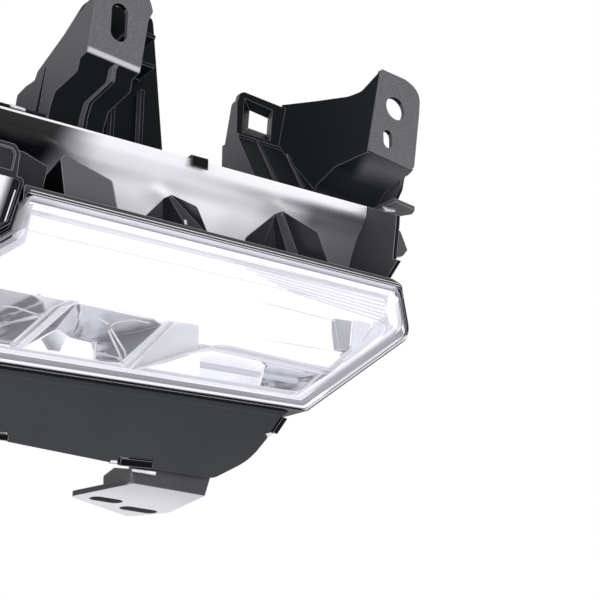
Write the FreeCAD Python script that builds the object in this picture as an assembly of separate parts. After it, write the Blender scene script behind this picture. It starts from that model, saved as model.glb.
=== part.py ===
import FreeCAD, Part
import math
import os

from FreeCAD import Vector

# Daytime running light for a car's front bumper, in millimetres, +X to the right as seen from the
# front, +Y to the rear, +Z up. The lamp is laid out from the front face of its lens, at Y = 0, and
# then moved so that the origin is the centre of the round hole in the right bracket's plate.

# Lens outline, seen from the front
lens_top = 28.9
lens_bottom = -29.4
lens_left = -100.0
lens_left_shoulder = -7.5
lens_notch_x = -72.3
lens_notch_z = 16.0
lens_corner_left = -69.4
lens_corner_right = 104.4
lens_tip_x = 108.2
lens_tip_z = 9.8
lens_foot_right = 52.3
lens_tip_round = 9.0
lens_foot_round = 4.0
lens_corner_round = 2.5

# Lens section
lens_wall = 2.0
lens_bevel_depth = 5.0
lens_depth = 9.0
bevel_top = 0.5
bevel_side = 5.6
bevel_slant = 4.4
bevel_bottom = 1.6
bevel_left = 1.5

# Clearances between pieces
fit = 0.3
slide = 0.2
screw_play = 0.2

# Length of tools that cut right through
far = 200.0

# Housing
collar_front = 4.6
collar_wall = 1.2
seal_thick = 1.2
ledge_depth = 3.0
housing_wall = 2.0
back_inner = 45.5
back_wall = 2.5
brow_front = 0.6
brow_rear = 14.0
brow_top = 31.8
brow_cut = 8.0

# Deck and cove above the lens
deck_top = 70.0
deck_thick = 2.0
deck_rear = 58.0
deck_right = 118.0
deck_rise = 0.023
cove_left = -100.0
cove_right = 100.0
cove_wall = 2.2
end_cap_thick = 2.2
rear_rib_count = 10
rear_rib_thick = 1.6
rear_rib_toe = 4.0

# Silver panel in the cove: front face, from its lip down to its foot, as (Y, drop below the deck)
panel_thick = 1.6
panel_lip_radius = 0.7
panel_profile = [(20.0, 0.0), (21.0, 5.0), (23.8, 9.4), (27.4, 13.4), (30.2, 18.6), (33.6, 26.0), (40.0, 42.0)]

# Fins on the housing's brow, each as left, top left, peak, right shoulder, right foot
fin_foot_y = 5.0
fin_lean = 0.25
fin_fall = 0.19
fin_rear = panel_profile[-1][0] + panel_thick + fit
fin_chamfer = 2.6
fin_low = brow_top - 2.0
fin_outlines = [
    [(-53.6, fin_low), (-54.6, 49.0), (-52.8, 51.6), (-34.0, 45.6), (-32.4, fin_low)],
    [(-12.8, fin_low), (-11.4, 45.4), (-8.8, 46.6), (2.4, 44.2), (7.0, fin_low)],
    [(40.4, fin_low), (41.8, 52.4), (45.2, 53.6), (62.4, 47.8), (66.0, fin_low)],
]
fin_rounds = [0.0, 1.2, 1.2, 2.0, 0.0]

# Right end of the deck: end cap as (Y, Z), wing as (X, Z) and ear as (X, Y), with corner radii
cap_front = [(20.0, deck_top), (1.0, 60.0), (1.3, 56.4), (4.1, 40.4), (1.0, 39.0), (8.1, 33.0)]
wing_front = 12.0
wing_thick = 1.8
wing_outline = [
    (cove_right, 61.5), (111.0, 61.6, 1.0), (112.6, 60.4, 1.0), (116.4, 52.6, 0.8), (113.4, 49.0, 0.8),
    (cove_right, 44.4),
]
ear_thick = 1.8
ear_outline = [
    (105.0, 7.0, 1.0), (119.0, 9.0, 1.0), (121.5, 13.5, 2.0), (118.0, 20.0), (118.0, 26.0), (105.0, 26.0),
]

# Left end over the side lamp: boss with its recess, and the ledge beside it, as (X, Z) outlines
side_top = 33.2
boss_front = 2.0
recess_deep = 1.0
boss_outline = [
    (lens_left, side_top), (lens_left, 46.4, 3.0), (-74.4, 46.2, 2.4), (-72.6, 43.4, 1.0), (-73.4, side_top - 4.0),
]
recess_outline = [
    (lens_left + 1.6, side_top + 3.2), (lens_left + 1.6, 44.8, 2.0), (-75.4, 44.6, 1.6), (-74.2, 42.8, 0.6),
    (-75.0, side_top + 3.2),
]
ledge_front = 11.0
ledge_outline = [
    (-74.0, brow_top - 1.0), (-74.0, 49.0), (-67.6, 48.6), (-58.4, 45.4), (-60.6, brow_top - 1.0),
]
deck_lip_front = 22.0
deck_lip_thick = 2.6
deck_lip_high = 3.0
deck_lip_right = -55.6

# Bezel and light guides inside the lens
bezel_front = 5.4
bezel_back = 12.0
guide_front = 6.0
guide_rear = 38.5
guide_split = 15.4
guide_overhang = 4.0
upper_tail_half = 3.2
main_tail_half = 7.5
tray_wall = 1.5
main_guide_right = 67.0
upper_guide_right = 96.0
lower_guide_left = 4.0
lower_guide_right = 71.0
lower_guide_bottom = -10.5
lower_guide_rear = 24.0
end_block_right = 77.0
window_frame = 0.4

# Cells below the light guides
cell_top = -5.4
right_cell_top = -13.2
cell_bottom = -22.6
blade_thick = 1.8
blade_rear = 20.0
blade_left = -91.0
blade_right = 43.5
rod_radius = 1.2
rod_z = -18.0
left_led_x = -74.0
middle_led_x = -36.0
right_led_x = [14.0, 34.0]
throat_play = 4.0
throat_half_high = 4.0

# Light sources, board and heat sink
board_front = 40.0
board_thick = 1.6
led_size = 3.4
led_high = 1.0
upper_row_z = 20.7
main_row_z = 5.5
main_guide_bottom = main_row_z - main_tail_half - tray_wall - fit
row_left = -44.0
row_right = 58.0
row_count = 9
sink_left = -50.0
sink_right = 66.0
sink_bottom = -22.4
sink_top = 25.4
sink_corner_x = 47.0
sink_corner_z = -9.0
sink_margin = 8.0
lower_board_left = -84.0
lower_board_right = 46.0
sink_base = 3.0
fin_high = 15.0
fin_pitch = 7.0
fin_thick = 1.6
gasket_thick = 0.8
sink_play = 0.4

# Control unit, connector and vent on the back
unit_left = -97.0
unit_right = -61.0
unit_bottom = -27.0
unit_top = -8.5
unit_deep = 15.0
socket_wide = 17.0
socket_high = 11.0
socket_wall = 1.5
socket_long = 14.0
vent_x = 86.0
vent_z = 8.0
vent_radius = 6.0

# Bracket plates and their fixing holes
plate_front = 18.0
plate_thick = 2.5
hole_x = 117.2
hole_z = 126.4
hole_radius = 5.9
right_slot_x = 111.8
right_slot_z = 108.8
right_slot_wide = 5.6
right_slot_high = 9.2
left_slot_x = -30.1
left_slot_z = 118.2
left_slot_wide = 7.4
left_slot_high = 17.0
foot_thick = 2.4
foot_low = deck_top - 6.0

# Left bracket: plate and rear wall as (X, Z); arm, web and rib as (Y, Z) on its leaning side plane
left_plate_left = -42.9
left_plate_low = 102.1
left_plate_right = -19.8
left_lean = 0.09
left_sweep = 0.7
left_arm_fall = 1.6
left_web_thick = 2.0
left_rib_thick = 1.6
left_rib_across = 12.6
left_plate_outline = [
    (left_plate_left, left_plate_low, 1.0), (-40.6, 128.0), (-39.6, 136.0, 5.0), (-17.6, 136.0, 6.0),
    (-15.3, 128.6, 2.0), (-17.3, 123.6, 2.0), (left_plate_right, 100.4, 1.0),
]
left_arm_section = [
    (18.0, 102.2), (18.2, 100.6), (20.3, 98.4, 2.0), (20.5, 92.4, 2.5), (27.4, 84.8, 2.0), (28.2, 78.0),
    (28.2, foot_low), (30.4, foot_low), (30.4, 78.6), (29.4, 86.2, 2.0), (22.7, 93.2, 2.5), (22.6, 99.0, 2.0),
    (20.5, 102.2),
]
left_web_outline = [
    (18.2, 100.6), (20.3, 98.4, 2.0), (20.5, 92.4, 2.5), (27.4, 84.8, 2.0), (28.2, 78.0), (28.2, foot_low),
    (41.0, foot_low), (41.0, 86.0, 1.5), (38.4, 89.4, 1.5), (35.6, 91.4, 1.0), (35.1, 95.2, 1.5), (18.2, 129.5),
]
left_rib_outline = [
    (18.4, 99.4), (19.0, 97.6, 1.0), (18.9, 91.8, 2.5), (25.8, 84.0, 2.0), (26.6, 78.0), (26.6, foot_low),
    (29.0, foot_low), (29.0, 79.0), (28.4, 85.6), (21.6, 92.8), (21.5, 98.6), (20.0, 99.4),
]
left_wall_front = 32.0
left_wall_thick = 2.4
left_wall_outline = [
    (-58.0, foot_low), (-54.0, 96.0, 2.0), (-39.4, 130.0, 3.0), (-36.0, 134.0, 3.0), (-8.4, 135.6, 2.0),
    (-7.4, 133.0, 1.0), (0.9, foot_low),
]
left_edge_deep = 8.0
left_edge_outline = [(-8.4, 134.8), (-7.4, 133.0), (0.9, foot_low), (-0.9, foot_low)]
left_wall_ribs = [(-26.0, 98.0), (-13.2, 99.0)]
left_wall_rib_deep = 3.0
left_shelves = [104.5, 118.0]
left_shelf_left = -24.0
left_shelf_right = -12.6
left_foot_left = -60.0
left_foot_right = 0.6
left_foot_front = 34.0
left_foot_rear = 44.5

# Right bracket, in the same way, with a boxed wall and its square window at the rear
right_plate_left = 100.0
right_plate_low = 99.6
right_lean = 0.196
right_sweep = 1.15
right_arm_fall = 2.3
right_arm_wide = 27.4
right_web_thick = 2.4
right_plate_outline = [
    (right_plate_left, right_plate_low, 0.8), (108.4, 143.0), (108.8, 144.8, 1.0), (124.4, 144.2, 8.0),
    (134.0, 140.6, 8.0), (132.6, 128.0), (127.8, 97.0, 3.0),
]
right_arm_section = [
    (18.0, 99.8), (19.0, 98.4), (27.6, 91.4, 2.0), (32.4, 81.6, 2.0), (33.2, foot_low), (35.4, foot_low),
    (34.6, 82.0, 2.0), (29.4, 92.9, 2.0), (20.6, 100.0),
]
right_arm_outline = [
    (60.0, foot_low), (60.0, 110.0), (127.8, 110.0), (127.6, 97.6), (126.1, 95.0), (123.0, 92.4, 3.0),
    (119.0, 88.5, 4.0), (116.9, 82.0, 4.0), (116.0, foot_low),
]
right_web_outline = [
    (18.6, 98.8), (27.6, 91.4, 2.0), (32.4, 81.6, 2.0), (33.2, foot_low), (47.4, foot_low), (47.4, 126.0),
    (37.0, 127.6), (27.1, 129.6, 10.0), (23.3, 132.2, 6.0), (19.2, 141.8), (18.4, 142.6),
]
flank_right = 126.4
flank_thick = 2.2
flank_outline = [
    (18.4, 97.6), (23.1, 94.6, 1.0), (24.8, 88.9, 2.0), (29.9, 82.8, 2.0), (33.4, 76.0), (33.6, foot_low),
    (47.0, foot_low), (47.0, 92.0, 2.0), (20.4, 99.4),
]
box_left = 45.0
box_front = 46.0
box_wall = 2.4
box_right = 86.0
box_wall_section = [
    (box_front, 127.0), (box_front, 103.0, 4.0), (31.0, 76.5, 4.0), (31.0, foot_low), (33.4, foot_low),
    (33.4, 76.0, 4.0), (box_front + box_wall, 102.4, 4.0), (box_front + box_wall, 127.0),
]
box_corner_outline = [
    (20.0, 140.0), (20.0, 110.0), (box_left, 118.0, 2.0), (box_left + 1.4, 123.6, 2.5),
    (box_left + 4.0, 125.0, 1.5), (72.4, 124.0), (78.0, 124.4), (90.0, 140.0),
]
box_side_thick = 2.2
box_side_outline = [
    (box_front + 0.5, 119.6), (box_front + 0.5, 103.0), (32.0, 77.0), (32.0, foot_low), (56.6, foot_low),
    (57.6, 90.0), (57.6, 101.0), (55.4, 101.0), (50.4, 119.6, 2.0),
]
lower_wall_front = 45.0
lower_wall_left = 80.0
lower_wall_top = 100.0
lower_wall_top_right = 92.0
funnel_deep = 6.0
funnel_wall = 1.4
funnel_mouth = [(48.9, 121.9), (64.8, 120.6), (63.8, 104.5), (48.0, 104.2)]
funnel_end = [(56.2, 120.2), (66.5, 119.3), (65.9, 110.9), (55.6, 111.2)]
box_ribs = [55.4, 71.0]
box_rib_thick = 1.4
box_rib_section = [
    (box_front + 0.5, 101.0), (box_front - 1.4, 101.6), (29.4, 76.4), (29.4, foot_low), (32.6, foot_low),
    (32.6, 75.0), (box_front + 0.5, 99.6),
]
box_shelf_right = 69.0
box_shelf_section = [
    (box_front - 2.2, 101.6), (box_front + 0.6, 103.6), (box_front + 0.6, 99.6),
]
right_foot_front = 44.0
right_foot_rear = 56.0

# Lower shield and lower bracket
shield_thick = 2.0
shield_slope = 0.35
shield_front = 9.0
flange_rear = 44.0
leaf_front = 20.4
leaf_thick = 2.0
leaf_left = -14.3
leaf_right = 18.6
leaf_rear = 42.0
shield_under = lens_bottom - slide - collar_wall
shield_outline = [
    (lens_left, shield_under), (47.4, shield_under), (44.4, shield_under - 2.2, 0.6), (40.8, shield_under - 8.4),
    (39.8, shield_under - 10.8), (34.0, -50.0, 24.0), (19.5, -58.0, 7.0), (-24.4, -56.2), (-62.4, -53.2),
    (lens_left, -49.8, 4.0),
]
shield_notches = [(-21.0, -7.2, -54.0, -56.8), (-75.0, -62.8, -50.4, -52.8)]
shield_side_clip = [
    (44.8, shield_under - 2.1), (47.0, shield_under - 2.4), (43.6, shield_under - 8.6), (41.4, shield_under - 8.2),
]
clip_stand = 0.8
tab_outline = [(-13.2, leaf_front), (17.0, leaf_front), (19.8, 51.4, 5.0), (9.9, 66.3, 2.0), (-23.0, 50.6, 2.0)]
tab_slots = [((-13.2, 50.6), (-6.4, 44.4)), ((3.2, 58.6), (12.6, 50.0))]
tab_height = -62.4
leaf_foot = -57.6
gusset_section = [
    (leaf_front + 0.5, -62.2), (leaf_front + 0.5, -57.2), (33.5, -55.2, 1.0), (42.0, -57.3, 1.0), (41.4, -63.4),
]
gusset_thick = 1.6
lower_screw_x = [-8.0, 11.0]
lower_screw_y = 34.0
tab_fall_back = 0.10
tab_fall_side = 0.07
tab_slot_wide = 6.4

# Side lamp, left of the main lens
side_gap = 3.4
side_wall = 1.8
side_front = 0.8

# Screws
screw_shank = 1.5
screw_head = 3.2
screw_head_high = 2.2
screw_bite = 4.6
boss_radius = 3.0

nodes = {}
lens_lift = -Vector(hole_x, plate_front, hole_z)


def rounded_wire(spots, radii):
    """Close a flat wire through spots, each corner rounded by its radius."""
    edges = []
    leaving = []
    arriving = []
    middles = []
    count = len(spots)
    for index in range(count):
        here = spots[index]
        radius = radii[index]
        to_before = (spots[index - 1] - here).normalize()
        to_after = (spots[(index + 1) % count] - here).normalize()
        half = to_before.getAngle(to_after) / 2.0
        if radius <= 0.0:
            arriving.append(here)
            leaving.append(here)
            middles.append(None)
            continue
        reach = radius / math.tan(half)
        inward = (to_before + to_after).normalize()
        arriving.append(here + to_before * reach)
        leaving.append(here + to_after * reach)
        middles.append(here + inward * (radius / math.sin(half) - radius))
    for index in range(count):
        after = (index + 1) % count
        if middles[index] is not None:
            edges.append(Part.Arc(arriving[index], middles[index], leaving[index]).toShape())
        edges.append(Part.makeLine(leaving[index], arriving[after]))
    return Part.Wire(edges)


def corners(points):
    """Split (a, b) or (a, b, radius) corners into places and radii."""
    places = [(point[0], point[1]) for point in points]
    radii = [point[2] if len(point) > 2 else 0.0 for point in points]
    return places, radii


def flat_face(points, place):
    """Face through (a, b, radius) corners, each put into space by place(a, b)."""
    places, radii = corners(points)
    return Part.Face(rounded_wire([place(a, b) for a, b in places], radii))


def front_prism(points, front, rear):
    """Outline in X and Z, from Y = front to Y = rear."""
    return flat_face(points, lambda a, b: Vector(a, front, b)).extrude(Vector(0, rear - front, 0))


def side_prism(points, left, right, rise=0.0):
    """Section in Y and Z, from X = left to X = right, climbing by rise for each mm."""
    face = flat_face(points, lambda a, b: Vector(left, a, b + rise * left))
    return face.extrude(Vector(right - left, 0, rise * (right - left)))


def plan_prism(points, low, high):
    """Outline in X and Y, from Z = low to Z = high."""
    return flat_face(points, lambda a, b: Vector(a, b, low)).extrude(Vector(0, 0, high - low))


def block(left, right, front, rear, low, high):
    """Box between its six faces."""
    return Part.makeBox(right - left, rear - front, high - low, Vector(left, front, low))


def rod(start, direction, radius, length):
    """Round bar."""
    return Part.makeCylinder(radius, length, start, direction)


def meet(point_a, along_a, point_b, along_b):
    """Where two lines in the plane cross."""
    det = along_a[0] * along_b[1] - along_a[1] * along_b[0]
    gap = (point_b[0] - point_a[0], point_b[1] - point_a[1])
    share = (gap[0] * along_b[1] - gap[1] * along_b[0]) / det
    return (point_a[0] + along_a[0] * share, point_a[1] + along_a[1] * share)


def moved_sides(points, moves):
    """Outline with each side moved outward by its own distance; points run clockwise."""
    count = len(points)
    sides = []
    for index in range(count):
        start = points[index]
        end = points[(index + 1) % count]
        length = math.hypot(end[0] - start[0], end[1] - start[1])
        along = ((end[0] - start[0]) / length, (end[1] - start[1]) / length)
        out = (-along[1], along[0])
        spot = (start[0] + out[0] * moves[index], start[1] + out[1] * moves[index])
        sides.append((spot, along))
    result = []
    for index in range(count):
        before = sides[index - 1]
        here = sides[index]
        result.append(meet(before[0], before[1], here[0], here[1]))
    return result


def grown(points, distance):
    """Outline with every side moved outward by one distance."""
    return moved_sides(points, [distance] * len(points))


def with_rounds(points, radii):
    """Join plain corners with their radii."""
    return [(point[0], point[1], radius) for point, radius in zip(points, radii)]


lens_corners = [
    (lens_corner_left, lens_top),
    (lens_corner_right, lens_top),
    (lens_tip_x, lens_tip_z),
    (lens_foot_right, lens_bottom),
    (lens_left, lens_bottom),
    (lens_left, lens_left_shoulder),
    (lens_notch_x, lens_notch_z),
]
lens_rounds = [1.0, lens_corner_round, lens_tip_round, lens_foot_round, 3.0, 3.0, 2.0]


def lens_outline(distance):
    """The lens outline moved outward by distance, with its rounded corners."""
    return with_rounds(grown(lens_corners, distance), lens_rounds)


def bevelled_outline(distance):
    """The outline of the lens's front face, moved outward by distance."""
    moves = [-bevel_top, -bevel_side, -bevel_slant, -bevel_bottom, -bevel_left, -bevel_left, -bevel_left]
    face = moved_sides(lens_corners, moves)
    return with_rounds(grown(face, distance), lens_rounds)


def lens_body(distance, front, rear):
    """Bevelled front and straight wall of the lens, grown by distance."""
    front_wire = corners(bevelled_outline(distance))
    wall_wire = corners(lens_outline(distance))
    wires = []
    for (places, radii), level in ((front_wire, front), (wall_wire, lens_bevel_depth)):
        wires.append(rounded_wire([Vector(a, level, b) for a, b in places], radii))
    nose = Part.makeLoft(wires, True, True)
    wall = front_prism(lens_outline(distance), lens_bevel_depth, rear)
    return nose.fuse(wall).removeSplitter()


def make_outer_lens():
    """Clear cover, one shell with a bevelled rim."""
    outer = lens_body(0.0, 0.0, lens_depth)
    inner = lens_body(-lens_wall, lens_wall, lens_depth + 1.0)
    nodes["outer_lens"] = outer.cut(inner)


def make_lens_seal():
    """Sealing bead between the lens's rear edge and the housing's ledge."""
    rear = lens_depth + seal_thick
    outer = front_prism(lens_outline(0.0), lens_depth, rear)
    inner = front_prism(lens_outline(-lens_wall), lens_depth - 1.0, rear + 1.0)
    nodes["lens_seal"] = outer.cut(inner)


def side_corners(distance):
    """Side lamp outline, which follows the main lens's left edges at side_gap."""
    notch = (lens_notch_x, lens_notch_z)
    upper = (lens_corner_left - lens_notch_x, lens_top - lens_notch_z)
    lower = (lens_left - lens_notch_x, lens_left_shoulder - lens_notch_z)
    upper_size = math.hypot(upper[0], upper[1])
    lower_size = math.hypot(lower[0], lower[1])
    upper_spot = (notch[0] - upper[1] / upper_size * side_gap, notch[1] + upper[0] / upper_size * side_gap)
    lower_spot = (notch[0] + lower[1] / lower_size * side_gap, notch[1] - lower[0] / lower_size * side_gap)
    points = [
        meet((0.0, side_top), (1.0, 0.0), upper_spot, upper),
        meet(upper_spot, upper, lower_spot, lower),
        meet(lower_spot, lower, (lens_left, 0.0), (0.0, 1.0)),
        (lens_left, side_top),
    ]
    return with_rounds(grown(points, distance), [1.5, 1.0, 1.0, 2.5])


def panel_curve(offset, rise_x):
    """Front line of the cove at X = rise_x, moved back by offset, as a smooth curve."""
    spots = []
    count = len(panel_profile)
    for index in range(count):
        depth, drop = panel_profile[index]
        before = panel_profile[max(index - 1, 0)]
        after = panel_profile[min(index + 1, count - 1)]
        along_y = after[0] - before[0]
        along_z = before[1] - after[1]
        size = math.hypot(along_y, along_z)
        shift_y = -along_z / size * offset
        shift_z = along_y / size * offset
        level = deck_top - drop + deck_rise * rise_x
        spots.append(Vector(rise_x, depth + shift_y, level + shift_z))
    spots[0].z = deck_top + deck_rise * rise_x
    spots[-1].z = deck_top - panel_profile[-1][1] + deck_rise * rise_x
    curve = Part.BSplineCurve()
    curve.interpolate(spots)
    return curve.toShape(), spots[0], spots[-1]


def cove_solid(left, right, front_offset, back_offset):
    """Curved wall of the cove between two offsets from the panel's front face."""
    front, front_top, front_low = panel_curve(front_offset, left)
    back, back_top, back_low = panel_curve(back_offset, left)
    wire = Part.Wire([front, Part.makeLine(front_low, back_low), back, Part.makeLine(back_top, front_top)])
    return Part.Face(wire).extrude(Vector(right - left, 0, deck_rise * (right - left)))


def deck_level(across):
    """Height of the deck's upper face at X = across."""
    return deck_top + deck_rise * across


def fin(points, growth):
    """Wedge that stands on the brow and runs back into the cove's wall, grown by a distance."""
    def place(across, high):
        return Vector(across, fin_foot_y + fin_lean * (high - brow_top), high)

    length = fin_rear - fin_foot_y
    outline = with_rounds(grown(points, growth), fin_rounds)
    body = flat_face(outline, place).extrude(Vector(0, length, -fin_fall * length))
    return body.common(block(-far, far, 0, fin_rear, brow_top - 1.0 - growth, deck_top))


def fin_bevel(body, points):
    """Cut the slanted band between a fin's left and front faces."""
    foot = Vector(points[0][0], fin_foot_y + fin_lean * (points[0][1] - brow_top), points[0][1])
    top = Vector(points[1][0], fin_foot_y + fin_lean * (points[1][1] - brow_top), points[1][1])
    spare = 1.0
    band = [(-spare, -spare), (fin_chamfer + spare, -spare), (-spare, fin_chamfer + spare)]
    start = foot - (top - foot) * 0.2
    wedge = flat_face(band, lambda a, b: start + Vector(a, b, 0)).extrude((top - foot) * 1.6)
    return body.cut(wedge)


def make_fins():
    """The three fins in front of the cove; the two right ones have a bevelled left edge."""
    left, middle, right = [fin(points, 0.0) for points in fin_outlines]
    ahead = cove_front_space(cove_left, cove_right)
    shaped = [left, fin_bevel(middle, fin_outlines[1]), fin_bevel(right, fin_outlines[2])]
    return [body.common(ahead) for body in shaped]


def cove_front_space(left, right):
    """Space in front of the middle of the cove's wall."""
    curve, top, low = panel_curve(panel_thick + fit + cove_wall / 2, left)
    ahead_top = Vector(left, -20.0, top.z)
    ahead_low = Vector(left, -20.0, low.z - 10.0)
    under = Vector(left, low.y, low.z - 10.0)
    wire = Part.Wire([curve, Part.makeLine(low, under), Part.makeLine(under, ahead_low),
                      Part.makeLine(ahead_low, ahead_top), Part.makeLine(ahead_top, top)])
    return Part.Face(wire).extrude(Vector(right - left, 0, deck_rise * (right - left)))


def make_upper_body():
    """Cove wall, deck, end walls and rear ribs above the lens chamber."""
    wall = cove_solid(cove_left, cove_right, panel_thick + fit, panel_thick + fit + cove_wall)
    deck_front = panel_profile[0][0] + panel_thick + fit + cove_wall / 2
    deck_section = [
        (deck_front, deck_top - deck_thick), (deck_front, deck_top),
        (deck_rear, deck_top), (deck_rear, deck_top - deck_thick),
    ]
    deck = side_prism(deck_section, cove_left, deck_right, deck_rise)
    bowl_rear = back_inner + back_wall
    bowl_top = lens_top + slide + collar_wall
    rib_section = [
        (deck_front, bowl_top - 4.0), (deck_front, deck_top - 0.5), (deck_rear, deck_top - 0.5),
        (deck_rear, deck_top - deck_thick - rear_rib_toe), (bowl_rear, bowl_top + rear_rib_toe),
        (bowl_rear, bowl_top - 4.0),
    ]
    ribs = []
    first = cove_left + rear_rib_thick / 2
    pitch = (cove_right - rear_rib_thick / 2 - first) / rear_rib_count
    for index in range(rear_rib_count + 1):
        middle = first + pitch * index
        ribs.append(side_prism(rib_section, middle - rear_rib_thick / 2, middle + rear_rib_thick / 2, deck_rise))
    ahead = cove_front_space(cove_left - 1.0, cove_right + 1.0)
    pieces = [wall, deck] + [rib.cut(ahead) for rib in ribs]
    cap = cap_front + [
        (cap_front[-1][0], bowl_top - 4.0), (bowl_rear, bowl_top - 4.0), (bowl_rear, bowl_top + rear_rib_toe),
        (deck_rear, deck_top - deck_thick - rear_rib_toe), (deck_rear, deck_top),
    ]
    pieces.append(side_prism(cap, cove_right, cove_right + end_cap_thick, deck_rise))
    pieces.append(front_prism(wing_outline, wing_front, wing_front + wing_thick))
    ear_top = deck_level(deck_right) + ear_thick - 1.0
    pieces.append(plan_prism(ear_outline, ear_top - ear_thick, ear_top))
    return pieces


def make_left_end():
    """Boss over the side lamp, low wall beside it, left end wall and the deck's rolled lip."""
    ahead = cove_front_space(cove_left, cove_right)
    rear = panel_profile[-1][0]
    recess = front_prism(recess_outline, boss_front - 1.0, boss_front + recess_deep)
    solid = front_prism(boss_outline, boss_front, rear).cut(recess)
    pieces = [solid.common(ahead), front_prism(ledge_outline, ledge_front, rear).common(ahead)]
    lip_low = deck_top - 1.0
    lip_high = deck_top + deck_lip_high
    lip_section = [
        (deck_lip_front, lip_low), (deck_lip_front, lip_high, 1.2),
        (deck_lip_front + deck_lip_thick, lip_high, 1.2), (deck_lip_front + deck_lip_thick, lip_low),
    ]
    pieces.append(side_prism(lip_section, cove_left, deck_lip_right, deck_rise))
    return pieces


def make_bowl():
    """Lens chamber of the housing, before it is hollowed."""
    outer = front_prism(lens_outline(slide + collar_wall), collar_front, back_inner + back_wall)
    brow = front_prism(
        [(lens_corner_left - 1.4, lens_top - 3.0), (lens_corner_left - 1.4, brow_top, 0.8),
         (lens_corner_right + 0.8, brow_top, 2.5), (lens_corner_right + 1.4, lens_top - 3.0)],
        brow_front, brow_rear,
    )
    slant = plan_prism(
        [(lens_corner_right - brow_cut, brow_front - 1.0), (lens_corner_right + brow_cut, brow_front - 1.0),
         (lens_corner_right + brow_cut, lens_bevel_depth + 2.0), (lens_corner_right - brow_cut, brow_front)],
        0.0, 60.0,
    )
    side = front_prism(side_corners(collar_wall + slide), lens_bevel_depth - 3.0, back_inner + back_wall)
    return outer.fuse([brow.cut(slant), side])


def bowl_hollows():
    """Spaces cut out of the housing: lens seat, chamber, side lamp and openings in the back."""
    seat = front_prism(lens_outline(slide), -5.0, lens_depth + seal_thick)
    ledge_end = lens_depth + seal_thick + ledge_depth
    throat = front_prism(lens_outline(-lens_wall - slide), lens_depth, ledge_end + 0.1)
    room = front_prism(lens_outline(slide + collar_wall - housing_wall), ledge_end, back_inner)
    opening = front_prism(sink_outline(sink_play), back_inner - 1.0, back_inner + back_wall + 1.0)
    side_seat = front_prism(side_corners(slide), -5.0, lens_depth)
    side_room = front_prism(side_corners(-side_wall), lens_depth - 1.0, back_inner)
    return [seat, throat, room, opening, side_seat, side_room]


def board_posts():
    """Two posts that carry the left end of the lower board."""
    places = [(-80.0, -19.0), (-58.0, -9.0)]
    start = board_front + board_thick
    return [rod(Vector(x, start, z), Vector(0, 1, 0), 2.5, back_inner - start + 0.5) for x, z in places]


def sink_outline(distance):
    """Heat sink's outline, its lower right corner cut to clear the slanted wall, moved out by distance."""
    points = [
        (sink_left, sink_top), (sink_right, sink_top), (sink_right, sink_corner_z),
        (sink_corner_x, sink_bottom), (sink_left, sink_bottom),
    ]
    return with_rounds(grown(points, distance), [0.0] * 5)


def sink_screw_places():
    """Where the heat sink's four screws stand, in X and Z."""
    inset = screw_head + fit
    left = sink_left - sink_margin + inset
    right = sink_right + sink_margin - inset
    return [(left, sink_top - 6.0), (left, sink_bottom + 6.0), (right, sink_top - 6.0), (right, sink_corner_z + 6.0)]


def unit_screw_places():
    """Where the control unit's two screws stand, in X and Z."""
    level = (unit_bottom + unit_top) / 2.0
    return [(unit_left + 4.0, level), (unit_right - 4.0, level)]


def rear_screw_bosses():
    """Blind bosses inside the back wall for the screws from the rear, and inside the floor for those below."""
    start = board_front + board_thick + fit
    places = sink_screw_places() + unit_screw_places()
    bosses = [rod(Vector(x, start, z), Vector(0, 1, 0), boss_radius, back_inner - start + 0.5) for x, z in places]
    for x, y in lower_screw_places():
        bosses.append(rod(Vector(x, y, shield_under + 0.5), Vector(0, 0, 1), boss_radius, screw_bite + 0.9))
    return bosses


def screw_holes():
    """Pilot holes in those bosses, and the holes for the brackets' screws in the deck."""
    radius = screw_shank + screw_play
    end = back_inner + back_wall
    depth = screw_bite + fit
    places = sink_screw_places() + unit_screw_places()
    holes = [rod(Vector(x, end + 1.0, z), Vector(0, -1, 0), radius, depth + 1.0) for x, z in places]
    for x, y in lower_screw_places():
        holes.append(rod(Vector(x, y, shield_under - 1.0), Vector(0, 0, 1), radius, depth + 1.0))
    return holes + deck_screw_holes()


def deck_screw_holes():
    """Holes through the deck and through the brackets' feet."""
    holes = []
    for _, across, depth in bracket_screw_places():
        start = Vector(across, depth, deck_top - 10.0)
        holes.append(rod(start, Vector(0, 0, 1), screw_shank + screw_play, 20.0))
    return holes


def bracket_screw_places():
    """Screws through the brackets' feet, as bracket name, X and Y."""
    return [("left", -52.0, 39.0), ("left", -8.0, 39.0), ("right", 56.0, 51.5), ("right", 104.0, 51.5)]


def make_housing():
    """Black moulded housing with brow, cove, fins, deck and end cap."""
    body = make_bowl().fuse(make_upper_body() + make_left_end() + make_fins())
    body = body.cut(bowl_hollows())
    body = body.fuse(board_posts() + rear_screw_bosses())
    holes = screw_holes()
    holes.append(rod(Vector(vent_x, back_inner - 1.0, vent_z), Vector(0, 1, 0), 1.2, back_wall + 2.0))
    nodes["housing"] = body.cut(holes).removeSplitter()


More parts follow.
